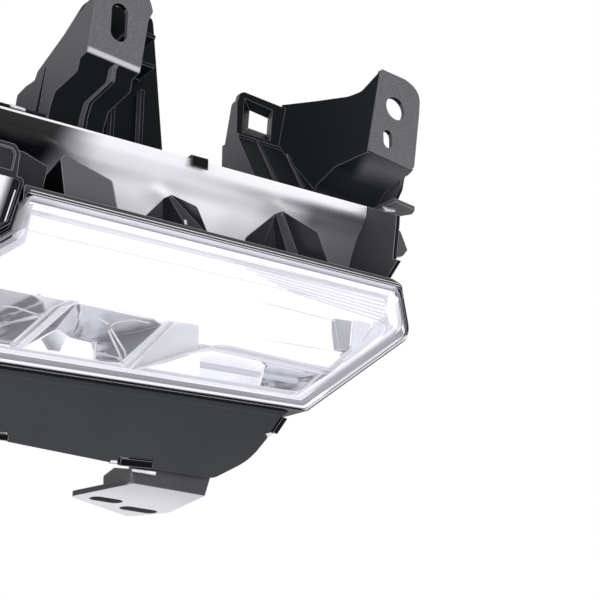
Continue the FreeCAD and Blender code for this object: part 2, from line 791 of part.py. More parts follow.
def make_top_panel():
    """Silver trim that follows the cove's curve, with a rounded lip along its upper edge."""
    left = cove_left + fit
    right = cove_right - fit
    sheet_body = cove_solid(left, right, 0.0, panel_thick)
    lip_start = Vector(left, panel_profile[0][0] + 0.2, deck_level(left) - panel_lip_radius - fit)
    lip_way = Vector(right - left, 0, deck_rise * (right - left))
    lip = rod(lip_start, lip_way, panel_lip_radius, lip_way.Length)
    foot = block(-far, far, 0, deck_rear, 0, lens_top + slide + collar_wall + fit)
    neighbours = [fin(points, fit) for points in fin_outlines]
    for points in (boss_outline, ledge_outline):
        plain = [(point[0], point[1]) for point in points]
        neighbours.append(front_prism(grown(plain, fit), 0.0, deck_rear))
    neighbours.append(block(-far, ledge_outline[0][0], 0.0, deck_rear, 0.0, side_top + fit))
    nodes["top_panel"] = sheet_body.fuse(lip).cut([foot] + neighbours)


def stadium(across, depth_from, depth_to, level, wide, high):
    """Upright slot with round ends through a plate that faces front."""
    half = (high - wide) / 2.0
    middle = block(across - wide / 2, across + wide / 2, depth_from, depth_to, level - half, level + half)
    ends = []
    for end in (level - half, level + half):
        ends.append(rod(Vector(across, depth_from, end), Vector(0, 1, 0), wide / 2, depth_to - depth_from))
    return middle.fuse(ends)


def leaning_place(left, low, lean, sweep):
    """Put (Y, Z) on a bracket's side plane, which leans with height and sweeps left as it goes back."""
    def place(depth, high):
        return Vector(left + lean * (high - low) - sweep * (depth - plate_front), depth, high)
    return place


def below_deck():
    """Everything under the deck's upper face, to trim the brackets' feet."""
    section = [(0.0, deck_top - far), (0.0, deck_top), (far, deck_top), (far, deck_top - far)]
    return side_prism(section, -far, far, deck_rise)


def make_left_bracket():
    """Plate with an upright slot, carried by a swept arm and a rear wall that stand on the deck."""
    plate_rear = plate_front + plate_thick
    wall_rear = left_wall_front + left_wall_thick
    plate = front_prism(left_plate_outline, plate_front, plate_rear)
    slot = stadium(left_slot_x, plate_front - 1, plate_rear + 1, left_slot_z, left_slot_wide, left_slot_high)
    place = leaning_place(left_plate_left, left_plate_low, left_lean, left_sweep)
    across = Vector(left_plate_right - left_plate_left, 0, -left_arm_fall)
    arm = flat_face(left_arm_section, place).extrude(across)
    web = flat_face(left_web_outline, place).extrude(Vector(left_web_thick, 0, 0))
    rib = flat_face(left_rib_outline, place).extrude(Vector(left_rib_thick, 0, 0))
    rib.translate(Vector(left_rib_across, 0, 0))
    wall = front_prism(left_wall_outline, left_wall_front, wall_rear)
    edge = front_prism(left_edge_outline, left_wall_front, left_wall_front + left_edge_deep)
    pieces = [arm, web, rib, wall, edge]
    for rib_left, top in left_wall_ribs:
        pieces.append(block(rib_left, rib_left + left_rib_thick, left_wall_front - left_wall_rib_deep,
                            left_wall_front + 0.5, foot_low, top))
    for level in left_shelves:
        pieces.append(block(left_shelf_left, left_shelf_right, plate_rear - 0.5, left_wall_front + 0.5,
                            level, level + left_rib_thick))
    pieces.append(block(left_foot_left, left_foot_right, left_foot_front, left_foot_rear, foot_low,
                        deck_level(0.0) + foot_thick))
    bracket = plate.fuse(pieces)
    nodes["left_bracket"] = bracket.cut([slot, below_deck()] + deck_screw_holes())


def loft_between(front_points, front, rear_points, rear):
    """Straight-sided solid between two (X, Z) outlines in planes that face front."""
    wires = []
    for points, depth in ((front_points, front), (rear_points, rear)):
        wires.append(rounded_wire([Vector(a, depth, b) for a, b in points], [0.0] * len(points)))
    return Part.makeLoft(wires, True, True)


def make_right_bracket():
    """Plate with a round hole and a slot, a swept arm, and a boxed wall with a square window."""
    plate_rear = plate_front + plate_thick
    plate = front_prism(right_plate_outline, plate_front, plate_rear)
    hole = rod(Vector(hole_x, plate_front - 1, hole_z), Vector(0, 1, 0), hole_radius, plate_thick + 2)
    slot = stadium(right_slot_x, plate_front - 1, plate_rear + 1, right_slot_z, right_slot_wide, right_slot_high)
    place = leaning_place(right_plate_left, right_plate_low, right_lean, right_sweep)
    across = Vector(right_arm_wide, 0, -right_arm_fall)
    arm = flat_face(right_arm_section, place).extrude(across * 1.7)
    arm = arm.common(front_prism(right_arm_outline, 0.0, deck_rear))
    web = flat_face(right_web_outline, place).extrude(Vector(right_web_thick, 0, 0))
    flank = side_prism(flank_outline, flank_right - flank_thick, flank_right)
    box_rear = box_front + box_wall
    lower_wall = front_prism(
        [(lower_wall_left, foot_low), (lower_wall_left, lower_wall_top, 2.0),
         (flank_right, lower_wall_top_right, 2.0), (flank_right, foot_low)],
        lower_wall_front, lower_wall_front + box_wall,
    )
    wall = side_prism(box_wall_section, box_left, box_right)
    wall = wall.cut(front_prism(box_corner_outline, box_front - 20.0, box_front + 20.0))
    funnel = loft_between(grown(funnel_mouth, funnel_wall), box_front + 0.5,
                          grown(funnel_end, funnel_wall), box_front + funnel_deep)
    opening = loft_between(funnel_mouth, box_front - 0.1, funnel_end, box_front + funnel_deep + 0.1)
    window = wall.fuse(funnel).cut(opening)
    side = side_prism(box_side_outline, box_left, box_left + box_side_thick)
    ribs = [side_prism(box_rib_section, x, x + box_rib_thick) for x in box_ribs]
    shelf = side_prism(box_shelf_section, box_left, box_shelf_right)
    base = block(box_left, flank_right, right_foot_front, right_foot_rear, foot_low, deck_level(110.0) + foot_thick)
    bracket = plate.fuse(arm).fuse([web, window, side, flank, lower_wall, shelf, base] + ribs)
    nodes["right_bracket"] = bracket.cut([hole, slot, below_deck()] + deck_screw_holes())


def make_bezel():
    """Inner frame: window for the light guides, three slanted cells and a slot for the blade."""
    frame = front_prism(lens_outline(-lens_wall - slide - fit), bezel_front, bezel_back)
    cuts = [front_prism(grown_points(guide_window(), 0.0), bezel_front - 1, bezel_back + 1)]
    for cell in cell_outlines():
        cuts.append(front_prism(with_rounds(cell, [1.5] * len(cell)), bezel_front - 1, bezel_back + 1))
    blade_low = lens_bottom + lens_wall + slide + fit + 1.0
    cuts.append(block(blade_left - fit, blade_right + fit, bezel_front - 1, bezel_back + 1,
                      blade_low - fit, blade_low + blade_thick + fit))
    nodes["bezel"] = frame.cut(cuts)


def grown_points(points, distance):
    """Plain corners grown by a distance, with small rounds."""
    return with_rounds(grown(points, distance), [0.8] * len(points))


def guide_window():
    """Corners of the window that the light guides fill, clockwise from its top left."""
    inner_top = lens_top - lens_wall - slide - fit - 0.5
    inset = grown(lens_corners, -lens_wall - slide - fit - 1.0)
    notch = inset[6]
    upper_way = (inset[0][0] - notch[0], inset[0][1] - notch[1])
    lower_way = (inset[5][0] - notch[0], inset[5][1] - notch[1])
    low = main_guide_bottom - window_frame
    return [
        meet(notch, upper_way, (0.0, inner_top), (1.0, 0.0)),
        (upper_guide_right + window_frame, inner_top),
        (upper_guide_right + window_frame + 2.6, guide_split - 2.4),
        (lower_guide_right + window_frame, lower_guide_bottom - window_frame),
        (lower_guide_left - window_frame, lower_guide_bottom - window_frame),
        (lower_guide_left - window_frame, low),
        meet(notch, lower_way, (0.0, low), (1.0, 0.0)),
        notch,
    ]


def cell_outlines():
    """Corners of the three cells below the light guides, clockwise from the top left."""
    left = [(-90.5, cell_top), (-58.0, cell_top), (-68.5, cell_bottom), (-90.5, cell_bottom)]
    middle = [(-44.6, cell_top), (-10.8, cell_top), (-28.0, cell_bottom), (-62.0, cell_bottom)]
    right = [(8.6, right_cell_top), (59.8, right_cell_top), (46.6, cell_bottom), (-15.0, cell_bottom)]
    return [left, middle, right]


def make_light_guides():
    """Clear light blades: the ribbed upper one, the plain main one and the short lower one."""
    window = grown(guide_window(), -window_frame)
    top = window[0][1]
    notch = window[7]
    upper_way = (window[0][0] - notch[0], top - notch[1])
    lower_way = (window[6][0] - notch[0], window[6][1] - notch[1])
    split_left = meet(notch, upper_way, (0.0, guide_split + slide), (1.0, 0.0))
    upper_front = [
        (window[0][0], top), (upper_guide_right, top), (upper_guide_right + 2.2, guide_split + slide), split_left,
    ]
    upper = front_prism(with_rounds(upper_front, [0.6] * 4), guide_front, bezel_back)
    grooves = []
    for index in range(4):
        level = top - 1.4 - 2.1 * index
        groove = [(guide_front - 0.1, level - 0.5), (guide_front + 0.7, level), (guide_front - 0.1, level + 0.5)]
        grooves.append(side_prism(groove, -80.0, 110.0))
    upper_tail = block(tail_left(), tail_right(), bezel_back, guide_rear, upper_row_z - upper_tail_half,
                       upper_row_z + upper_tail_half)
    nodes["upper_light_guide"] = upper.cut(grooves).fuse(upper_tail)
    main_top = guide_split - slide
    way = upper_way if notch[1] < main_top else lower_way
    main_front = [
        meet(notch, way, (0.0, main_top), (1.0, 0.0)), (main_guide_right, main_top),
        (main_guide_right, main_guide_bottom), (window[6][0], main_guide_bottom, 0.8),
    ]
    if notch[1] < main_top:
        main_front.append(notch)
    main = front_prism(main_front, guide_front, bezel_back)
    main_tail = block(tail_left(), tail_right(), bezel_back, guide_rear, main_row_z - main_tail_half,
                      main_row_z + main_tail_half)
    nodes["main_light_guide"] = main.fuse(main_tail)
    lower_top = main_guide_bottom - fit
    nodes["lower_light_guide"] = block(lower_guide_left, lower_guide_right, guide_front, lower_guide_rear,
                                       lower_guide_bottom, lower_top)
    block_left = main_guide_right + fit
    end_block = [(block_left, 13.4), (end_block_right + 1.0, 13.4), (end_block_right - 0.6, -1.6), (block_left, -1.6)]
    nodes["guide_end_block"] = front_prism(end_block, guide_front, bezel_back + 4.0)


def tail_left():
    """Left end of the light guides' rear halves."""
    return row_left - guide_overhang


def tail_right():
    """Right end of the light guides' rear halves."""
    return row_right + guide_overhang


def make_guide_reflector():
    """White tray around the rear halves of the two upper light guides."""
    side = fit + tray_wall
    outer = block(tail_left() - side, tail_right() + side, bezel_back + fit, board_front,
                  main_row_z - main_tail_half - side, upper_row_z + upper_tail_half + side)
    cuts = []
    for level, half in ((upper_row_z, upper_tail_half + fit), (main_row_z, main_tail_half + fit)):
        cuts.append(block(tail_left() - fit, tail_right() + fit, bezel_back, board_front + 1, level - half, level + half))
    nodes["guide_reflector"] = outer.cut(cuts)


def lower_led_places():
    """Centres of the LEDs behind the three cells, in X and Z."""
    middle = (cell_top + cell_bottom) / 2.0
    return [(left_led_x, middle), (middle_led_x, middle), (right_led_x[0], rod_z), (right_led_x[1], rod_z)]


def make_reflectors():
    """Three tapering cups from the cells back to their LEDs."""
    names = ["left_reflector", "middle_reflector", "right_reflector"]
    half_pitch = (right_led_x[1] - right_led_x[0]) / 2.0
    single = led_size / 2.0 + throat_play - 0.7
    spots = [(left_led_x, single), (middle_led_x, single),
             (right_led_x[0] + half_pitch, half_pitch + throat_play)]
    levels = [(cell_top + cell_bottom) / 2.0, (cell_top + cell_bottom) / 2.0, rod_z]
    highs = [throat_half_high, throat_half_high, throat_half_high - 1.0]
    rear = board_front - fit
    for name, cell, spot, level, high in zip(names, cell_outlines(), spots, levels, highs):
        across, half = spot
        throat = [(across - half, level + high), (across + half, level + high),
                  (across + half, level - high), (across - half, level - high)]
        shells = []
        for distance, front, back in ((1.0, bezel_back, rear), (0.0, bezel_back - 0.01, rear + 0.01)):
            wires = []
            for outline, depth in ((cell, front), (throat, back)):
                spots_3d = [Vector(a, depth, b) for a, b in grown(outline, distance)]
                wires.append(rounded_wire(spots_3d, [0.0] * 4))
            shells.append(Part.makeLoft(wires, True, True))
        nodes[name] = shells[0].cut(shells[1])


def make_blade_and_rod():
    """Thin blade along the bottom of the cells, and the light tube across the right cell."""
    low = lens_bottom + lens_wall + slide + fit + 1.0
    nodes["lower_light_blade"] = block(blade_left, blade_right, guide_front, blade_rear, low, low + blade_thick)
    right = cell_outlines()[2]
    high = right_cell_top - right[3][1]
    left_end = right[0][0] + (right[3][0] - right[0][0]) * (right_cell_top - rod_z - rod_radius) / high
    right_end = right[1][0] + (right[2][0] - right[1][0]) * (right_cell_top - rod_z + rod_radius) / high
    depth = (bezel_front + bezel_back) / 2.0
    start = Vector(left_end + fit, depth, rod_z)
    nodes["cell_light_tube"] = rod(start, Vector(1, 0, 0), rod_radius, right_end - left_end - 2 * fit)


def make_boards():
    """LED boards on the heat sink's pedestal, and the LEDs on them."""
    rear = board_front + board_thick
    upper_low = main_row_z - main_tail_half
    nodes["upper_led_board"] = block(sink_left, sink_right, board_front, rear, upper_low, sink_top)
    nodes["lower_led_board"] = block(lower_board_left, lower_board_right, board_front, rear, sink_bottom,
                                     upper_low - 2.0)
    upper = []
    pitch = (row_right - row_left) / (row_count - 1)
    half = led_size / 2.0
    for level in (upper_row_z, main_row_z):
        for index in range(row_count):
            across = row_left + pitch * index
            upper.append(block(across - half, across + half, board_front - led_high, board_front, level - half, level + half))
    nodes["upper_leds"] = Part.makeCompound(upper)
    lower = []
    for across, level in lower_led_places():
        small = half - 0.4
        lower.append(block(across - small, across + small, board_front - led_high, board_front,
                           level - small, level + small))
    nodes["lower_leds"] = Part.makeCompound(lower)


def make_heat_sink():
    """Cast heat sink: pedestal through the back wall, flange outside it and upright fins."""
    wall_rear = back_inner + back_wall
    base_front = wall_rear + gasket_thick
    base_rear = base_front + sink_base
    pedestal = front_prism(sink_outline(0.0), board_front + board_thick, base_front + 0.5)
    flange = flange_outline()
    count = int((sink_right - sink_left - fin_thick) / fin_pitch) + 1
    start = (sink_left + sink_right - (count - 1) * fin_pitch) / 2.0
    comb = []
    for index in range(count):
        across = start + fin_pitch * index
        comb.append(block(across - fin_thick / 2, across + fin_thick / 2, base_rear - 0.2, base_rear + fin_high,
                          sink_bottom, sink_top))
    fins = Part.makeCompound(comb).common(front_prism(sink_outline(0.0), base_rear - 1.0, base_rear + fin_high + 1.0))
    body = pedestal.fuse([front_prism(flange, base_front, base_rear)] + fins.Solids)
    nodes["heat_sink"] = body.cut(sink_screw_holes()).removeSplitter()
    ring = front_prism(flange, wall_rear, base_front)
    inner = front_prism(sink_outline(0.6), wall_rear - 1.0, base_front + 1.0)
    nodes["heat_sink_gasket"] = ring.cut([inner] + sink_screw_holes())
    nodes["heat_sink_screws"] = Part.makeCompound([rear_screw(x, base_rear, z) for x, z in sink_screw_places()])


def flange_outline():
    """Outline of the heat sink's flange: wide at both ends for the screws, narrow above and below."""
    over = 3.0
    points = [
        (sink_left, sink_top), (sink_right, sink_top), (sink_right, sink_corner_z),
        (sink_corner_x, sink_bottom), (sink_left, sink_bottom),
    ]
    moved = moved_sides(points, [over, sink_margin, over, over, sink_margin])
    return with_rounds(moved, [3.0, 3.0, 3.0, 3.0, 3.0])


def sink_screw_holes():
    """Clearance holes through flange and gasket."""
    front = back_inner + back_wall - 1.0
    length = gasket_thick + sink_base + 2.0
    return [rod(Vector(x, front, z), Vector(0, 1, 0), screw_shank + screw_play, length) for x, z in sink_screw_places()]


def rear_screw(across, seat, level):
    """Screw driven from the rear, head seated at Y = seat."""
    head = rod(Vector(across, seat, level), Vector(0, 1, 0), screw_head, screw_head_high)
    length = seat - (back_inner + back_wall) + screw_bite
    shank = rod(Vector(across, seat - length, level), Vector(0, 1, 0), screw_shank, length)
    return head.cut(star_socket(Vector(across, seat + screw_head_high, level), Vector(0, -1, 0))).fuse(shank)


def star_socket(place, direction):
    """Drive recess in a screw's head."""
    depth = 1.2
    return rod(place - direction * 0.2, direction, 1.2, depth + 0.2)


def make_control_unit():
    """Driver box on the back, its connector socket, pins and screws."""
    wall_rear = back_inner + back_wall
    outline = [(unit_left, unit_bottom, 2.0), (unit_left, unit_top, 2.0), (unit_right, unit_top, 2.0),
               (unit_right, unit_bottom, 2.0)]
    ears = 8.0
    body = front_prism([(unit_left + ears, unit_bottom, 1.0), (unit_left + ears, unit_top, 1.0),
                        (unit_right - ears, unit_top, 1.0), (unit_right - ears, unit_bottom, 1.0)],
                       wall_rear, wall_rear + unit_deep)
    base = front_prism(outline, wall_rear, wall_rear + 2.5)
    holes = []
    screws = []
    for x, z in unit_screw_places():
        holes.append(rod(Vector(x, wall_rear - 1, z), Vector(0, 1, 0), screw_shank + screw_play, 5.0))
        screws.append(rear_screw(x, wall_rear + 2.5, z))
    nodes["control_unit"] = base.fuse(body).cut(holes).removeSplitter()
    nodes["control_unit_screws"] = Part.makeCompound(screws)
    front = wall_rear + unit_deep
    middle_x = (unit_left + unit_right) / 2.0
    middle_z = (unit_bottom + unit_top) / 2.0
    half_x = socket_wide / 2.0
    half_z = socket_high / 2.0
    shell = block(middle_x - half_x, middle_x + half_x, front, front + socket_long, middle_z - half_z, middle_z + half_z)
    hollow = block(middle_x - half_x + socket_wall, middle_x + half_x - socket_wall, front + 2.0,
                   front + socket_long + 1.0, middle_z - half_z + socket_wall, middle_z + half_z - socket_wall)
    latch = block(middle_x - 2.5, middle_x + 2.5, front + 4.0, front + socket_long - 3.0,
                  middle_z + half_z - 0.2, middle_z + half_z + 1.6)
    nodes["connector_socket"] = shell.cut(hollow).fuse(latch)
    pins = []
    for index in range(4):
        across = middle_x - 4.5 + 3.0 * index
        pins.append(block(across - 0.4, across + 0.4, front + 2.0, front + 8.0, middle_z - 2.4, middle_z - 1.6))
    nodes["connector_pins"] = Part.makeCompound(pins)


def make_vent_cap():
    """Vent cap over the breathing hole in the back wall."""
    wall_rear = back_inner + back_wall
    cap = rod(Vector(vent_x, wall_rear, vent_z), Vector(0, 1, 0), vent_radius, 5.0)
    hollow = rod(Vector(vent_x, wall_rear - 0.1, vent_z), Vector(0, 1, 0), vent_radius - 1.4, 3.6)
    nodes["vent_cap"] = cap.makeFillet(1.2, [edge for edge in cap.Edges if edge.CenterOfMass.y > wall_rear + 4.5
                                             and len(edge.Vertexes) == 1]).cut(hollow)


def shield_place(across, high):
    """Put (X, Z) on the front plane of the lower shield, which runs back as it goes down."""
    return Vector(across, shield_front + shield_slope * (shield_under - high), high)


def make_lower_shield():
    """Dark shield below the lens, with its upper flange under the housing."""
    normal = Vector(0, 1, shield_slope).normalize()
    plate = flat_face(shield_outline, shield_place).extrude(normal * shield_thick)
    flange = block(lens_left, shield_outline[2][0] - 0.4, shield_front + 0.6, flange_rear,
                   shield_under - shield_thick, shield_under)
    keep = block(-far, far, -far, far, -far, shield_under)
    cuts = []
    for left, right, top, _ in shield_notches:
        low = top - 6.0
        tool = flat_face([(left, low), (left, top), (right, top), (right, low)], shield_place)
        tool = tool.extrude(normal * 10.0)
        tool.translate(normal * -4.0)
        cuts.append(tool)
    for x, y in lower_screw_places():
        start = Vector(x, y, shield_under - shield_thick - 1.0)
        cuts.append(rod(start, Vector(0, 0, 1), screw_shank + screw_play, shield_thick + 2.0))
    nodes["lower_shield"] = plate.fuse(flange).common(keep).cut(cuts).removeSplitter()


def lower_screw_places():
    """Screws that hold the lower bracket and the shield under the housing, in X and Y."""
    return [(across, lower_screw_y) for across in lower_screw_x]


def tab_level(across, depth):
    """Height of the lower tab's underside."""
    return tab_height - tab_fall_side * (across - tab_outline[0][0]) - tab_fall_back * (depth - leaf_front)


def make_lower_bracket():
    """Bent steel sheet: upper leaf under the shield's flange, upright leaf and rear tab with two slots."""
    top = shield_under - shield_thick
    upper = plan_prism([(leaf_left, leaf_front, 0.0), (leaf_right, leaf_front, 0.0),
                        (leaf_right, leaf_rear, 4.0), (leaf_left, leaf_rear, 4.0)], top - leaf_thick, top)

    def low_place(across, depth):
        return Vector(across, depth, tab_level(across, depth))

    tab = flat_face(tab_outline, low_place).extrude(Vector(0, 0, leaf_thick))
    tab_left = tab_outline[0][0]
    tab_right = tab_outline[1][0]
    upright = front_prism([
        (leaf_left, top), (leaf_right, top), (leaf_right + 0.6, leaf_foot),
        (tab_right, tab_level(tab_right, leaf_front)), (tab_left, tab_level(tab_left, leaf_front)),
        (leaf_left, leaf_foot + 0.6),
    ], leaf_front, leaf_front + leaf_thick)
    gusset = side_prism(gusset_section, leaf_left, leaf_left + gusset_thick)
    cuts = [tab_slot(start, end) for start, end in tab_slots]
    for x, y in lower_screw_places():
        start = Vector(x, y, top - leaf_thick - 1.0)
        cuts.append(rod(start, Vector(0, 0, 1), screw_shank + screw_play, leaf_thick + 2.0))
    nodes["lower_bracket"] = upper.fuse([upright, tab, gusset]).cut(cuts).removeSplitter()


def tab_slot(start, end):
    """Round-ended slot through the lower tab, along X."""
    middle_x = (start[0] + end[0]) / 2.0
    middle_y = (start[1] + end[1]) / 2.0
    half = abs(end[0] - start[0]) / 2.0
    radius = tab_slot_wide / 2.0
    low = tab_height - 14.0
    body = block(middle_x - half, middle_x + half, middle_y - radius, middle_y + radius, low, low + 20.0)
    ends = [rod(Vector(x, middle_y, low), Vector(0, 0, 1), radius, 20.0) for x in (middle_x - half, middle_x + half)]
    return body.fuse(ends)


def lower_screws():
    """Screws from below through bracket and shield."""
    seat = shield_under - shield_thick - leaf_thick
    screws = []
    for x, y in lower_screw_places():
        head = rod(Vector(x, y, seat), Vector(0, 0, -1), screw_head, screw_head_high)
        head = head.cut(star_socket(Vector(x, y, seat - screw_head_high), Vector(0, 0, 1)))
        shank = rod(Vector(x, y, seat), Vector(0, 0, 1), screw_shank, shield_thick + leaf_thick + screw_bite)
        screws.append(head.fuse(shank))
    return screws


def make_bracket_screws():
    """Screws that hold the two upper brackets on the deck."""
    screws = []
    for name, x, y in bracket_screw_places():
        seat = (deck_level(0.0) if name == "left" else deck_level(110.0)) + foot_thick
        head = rod(Vector(x, y, seat), Vector(0, 0, 1), screw_head, screw_head_high)
        head = head.cut(star_socket(Vector(x, y, seat + screw_head_high), Vector(0, 0, -1)))
        shank = rod(Vector(x, y, seat), Vector(0, 0, -1), screw_shank, foot_thick + deck_thick + 1.0)
        screws.append(head.fuse(shank))
    nodes["bracket_screws"] = Part.makeCompound(screws)
    nodes["lower_bracket_screws"] = Part.makeCompound(lower_screws())


def make_clips():
    """Black clip on the panel's lip, and the spring clips in the shield's notches."""
    lip = panel_profile[0][0]
    front = lip - panel_lip_radius - fit
    section = [
        (front - 0.8, deck_top - 4.0, 0.3), (front - 0.8, deck_top + 0.9, 0.5), (lip + 8.0, deck_top + 0.9),
        (lip + 8.0, deck_top), (front, deck_top), (front, deck_top - 4.0),
    ]
    nodes["panel_clip"] = side_prism(section, 5.4, 13.2, deck_rise)
    normal = Vector(0, 1, shield_slope).normalize()
    outlines = [shield_side_clip]
    for left, right, top, low in shield_notches:
        outlines.append([(left + fit, low), (left + fit, top - fit, 0.5), (right - fit, top - fit, 0.5),
                         (right - fit, low)])
    clips = []
    for outline in outlines:
        clip = flat_face(outline, shield_place).extrude(normal * (shield_thick + clip_stand))
        clip.translate(normal * -clip_stand)
        clips.append(clip)
    nodes["shield_clips"] = Part.makeCompound(clips)


def make_side_lamp():
    """Small lamp left of the main lens: lens, frame, reflector, board and LED."""
    outer = front_prism(side_corners(0.0), side_front, lens_depth)
    inner = front_prism(side_corners(-side_wall), side_front + side_wall, lens_depth + 1)
    nodes["side_lens"] = outer.cut(inner)
    frame_rear = lens_depth - 1.0
    frame = front_prism(side_corners(-side_wall - fit), frame_rear - 4.0, frame_rear)
    hole = front_prism(side_corners(-side_wall - fit - 3.0), 3.0, frame_rear + 1.0)
    nodes["side_frame"] = frame.cut(hole)
    board = back_inner - board_thick
    rear = board - led_high - 1.0
    reflector = front_prism(side_corners(-side_wall - fit), frame_rear, rear)
    hollow = front_prism(side_corners(-side_wall - fit - 1.4), frame_rear - 1.0, rear - 1.4)
    led_x = -90.0
    led_z = 20.0
    half = led_size / 2.0
    led_hole = block(led_x - half - 1, led_x + half + 1, rear - 3.0, rear + 1.0, led_z - half - 1, led_z + half + 1)
    nodes["side_reflector"] = reflector.cut([hollow, led_hole])
    nodes["side_led_board"] = block(led_x - 6.5, led_x + 6.0, board, back_inner, led_z - 6.5, led_z + 7.0)
    nodes["side_led"] = block(led_x - half, led_x + half, board - led_high, board, led_z - half, led_z + half)


def main():
    """Build every piece and write one file for each."""
    os.makedirs("parts", exist_ok=True)
    make_outer_lens()
    make_lens_seal()
    make_housing()
    make_top_panel()
    make_left_bracket()
    make_right_bracket()
    make_bezel()
    make_light_guides()
    make_guide_reflector()
    make_reflectors()
    make_blade_and_rod()
    make_boards()
    make_heat_sink()
    make_control_unit()
    make_vent_cap()
    make_lower_shield()
    make_lower_bracket()
    make_bracket_screws()
    make_clips()
    make_side_lamp()
    for name, shape in nodes.items():
        shape.translate(lens_lift)
        shape.exportStep(os.path.join("parts", name + ".step"))
        print(name, len(shape.Solids), round(shape.Volume), shape.isValid())


main()
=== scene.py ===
"""Looks of the daytime running light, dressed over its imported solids."""
import logging
import math
from dataclasses import dataclass
from enum import Enum
from typing import Callable, Sequence

import bmesh
import bpy
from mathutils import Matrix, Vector


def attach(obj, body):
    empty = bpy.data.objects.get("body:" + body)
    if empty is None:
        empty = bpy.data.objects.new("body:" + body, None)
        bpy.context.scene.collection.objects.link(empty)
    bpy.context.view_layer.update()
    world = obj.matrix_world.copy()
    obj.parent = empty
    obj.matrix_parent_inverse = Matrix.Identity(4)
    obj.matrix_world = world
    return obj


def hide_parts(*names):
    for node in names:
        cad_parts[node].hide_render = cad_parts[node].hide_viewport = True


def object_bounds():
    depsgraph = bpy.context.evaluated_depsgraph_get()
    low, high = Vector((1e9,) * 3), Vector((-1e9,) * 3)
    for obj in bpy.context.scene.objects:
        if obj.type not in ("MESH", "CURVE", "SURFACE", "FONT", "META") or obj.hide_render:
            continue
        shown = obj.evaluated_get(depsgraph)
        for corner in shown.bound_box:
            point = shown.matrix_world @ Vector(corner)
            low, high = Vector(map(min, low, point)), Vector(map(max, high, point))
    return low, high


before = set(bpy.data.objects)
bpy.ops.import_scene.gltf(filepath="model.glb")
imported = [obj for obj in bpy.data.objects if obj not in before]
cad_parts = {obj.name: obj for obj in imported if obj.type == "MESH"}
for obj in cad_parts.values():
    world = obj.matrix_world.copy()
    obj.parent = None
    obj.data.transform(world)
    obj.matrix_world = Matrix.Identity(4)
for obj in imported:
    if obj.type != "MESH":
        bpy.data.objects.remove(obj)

LOG = logging.getLogger("running_light")
MM = 0.001
CAD_BOX = [list(corner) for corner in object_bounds()]

Point = tuple[float, float]
Place = tuple[float, float, float]
Colour = tuple[float, float, float]
Node = bpy.types.Node
Socket = bpy.types.NodeSocket
Piece = bpy.types.Object

# Lamp millimetres are across, depth and height from the lens's middle

HOLE = Vector((117.2, 18.0, 126.4))
EYE = Vector((-202.13, -327.16, -116.1))
DECK = 31.8
FIN_FOOT = 5.0
FIN_LEAN = 0.251


def at(across: float, depth: float, height: float) -> Vector:
    """Turn lamp millimetres into the model's metres."""
    return (Vector((across, depth, height)) - HOLE) * MM


def cross(first: Vector, second: Vector) -> float:
    """Return the cross product of two flat vectors."""
    return first.x * second.y - first.y * second.x


# Outlines in the lamp's front plane, as across and height


def offset(points: Sequence[Point], distance: float) -> list[Point]:
    """Move every side of a clockwise outline outward.

    Args:
        points: Corners.
        distance: How far, negative for inward.

    Returns:
        The new corners.
    """
    sides = []
    for here, after in zip(points, list(points[1:]) + [points[0]]):
        along = (Vector(after) - Vector(here)).normalized()
        sides.append((Vector(here) + Vector((-along.y, along.x)) * distance, along))
    moved = []
    for index, (spot, along) in enumerate(sides):
        before_spot, before_along = sides[index - 1]
        share = cross(spot - before_spot, along) / cross(before_along, along)
        moved.append(tuple(before_spot + before_along * share))
    return moved


def rounded(points: Sequence[Point], radii: Sequence[float], steps: int = 5) -> list[Point]:
    """Round the corners of an outline.

    Args:
        points: Corners.
        radii: Radius of each corner.
        steps: Spots on each arc.

    Returns:
        The spots along the rounded outline.
    """
    spots: list[Point] = []
    for index, here in enumerate(points):
        corner = Vector(here)
        back = (Vector(points[index - 1]) - corner).normalized()
        ahead = (Vector(points[(index + 1) % len(points)]) - corner).normalized()
        half = back.angle(ahead) / 2.0
        reach = radii[index] / math.tan(half)
        centre = corner + (back + ahead).normalized() * (radii[index] / math.sin(half))
        start = corner + back * reach - centre
        end = corner + ahead * reach - centre
        spots += [tuple(centre + start.slerp(end, step / steps)) for step in range(steps + 1)]
    return spots


@dataclass(frozen=True)
class LensShape:
    """Front outline of the lens, and the bevels of its sides from the upper one round."""

    top: float = 28.9
    bottom: float = -29.4
    left: float = -100.0
    left_shoulder: float = -7.5
    notch: Point = (-72.3, 16.0)
    corner_left: float = -69.4
    corner_right: float = 104.4
    tip: Point = (108.2, 9.8)
    foot_right: float = 52.3
    radii: tuple[float, ...] = (1.0, 2.5, 9.0, 4.0, 3.0, 3.0, 2.0)
    least_radius: float = 0.4
    bevel_depth: float = 5.0
    bevels: tuple[float, ...] = (0.5, 5.6, 4.4, 1.6, 1.5, 1.5, 1.5)

    def corners(self) -> list[Point]:
        """Return the corners, clockwise from the upper left."""
        return [
            (self.corner_left, self.top), (self.corner_right, self.top), self.tip,
            (self.foot_right, self.bottom), (self.left, self.bottom), (self.left, self.left_shoulder),
            self.notch,
        ]

    def outline(self, distance: float) -> list[Point]:
        """Return the rounded outline, moved outward by a distance."""
        radii = [max(self.least_radius, radius + distance * 0.5) for radius in self.radii]
        return rounded(offset(self.corners(), distance), radii)


LENS = LensShape()


# Node graphs


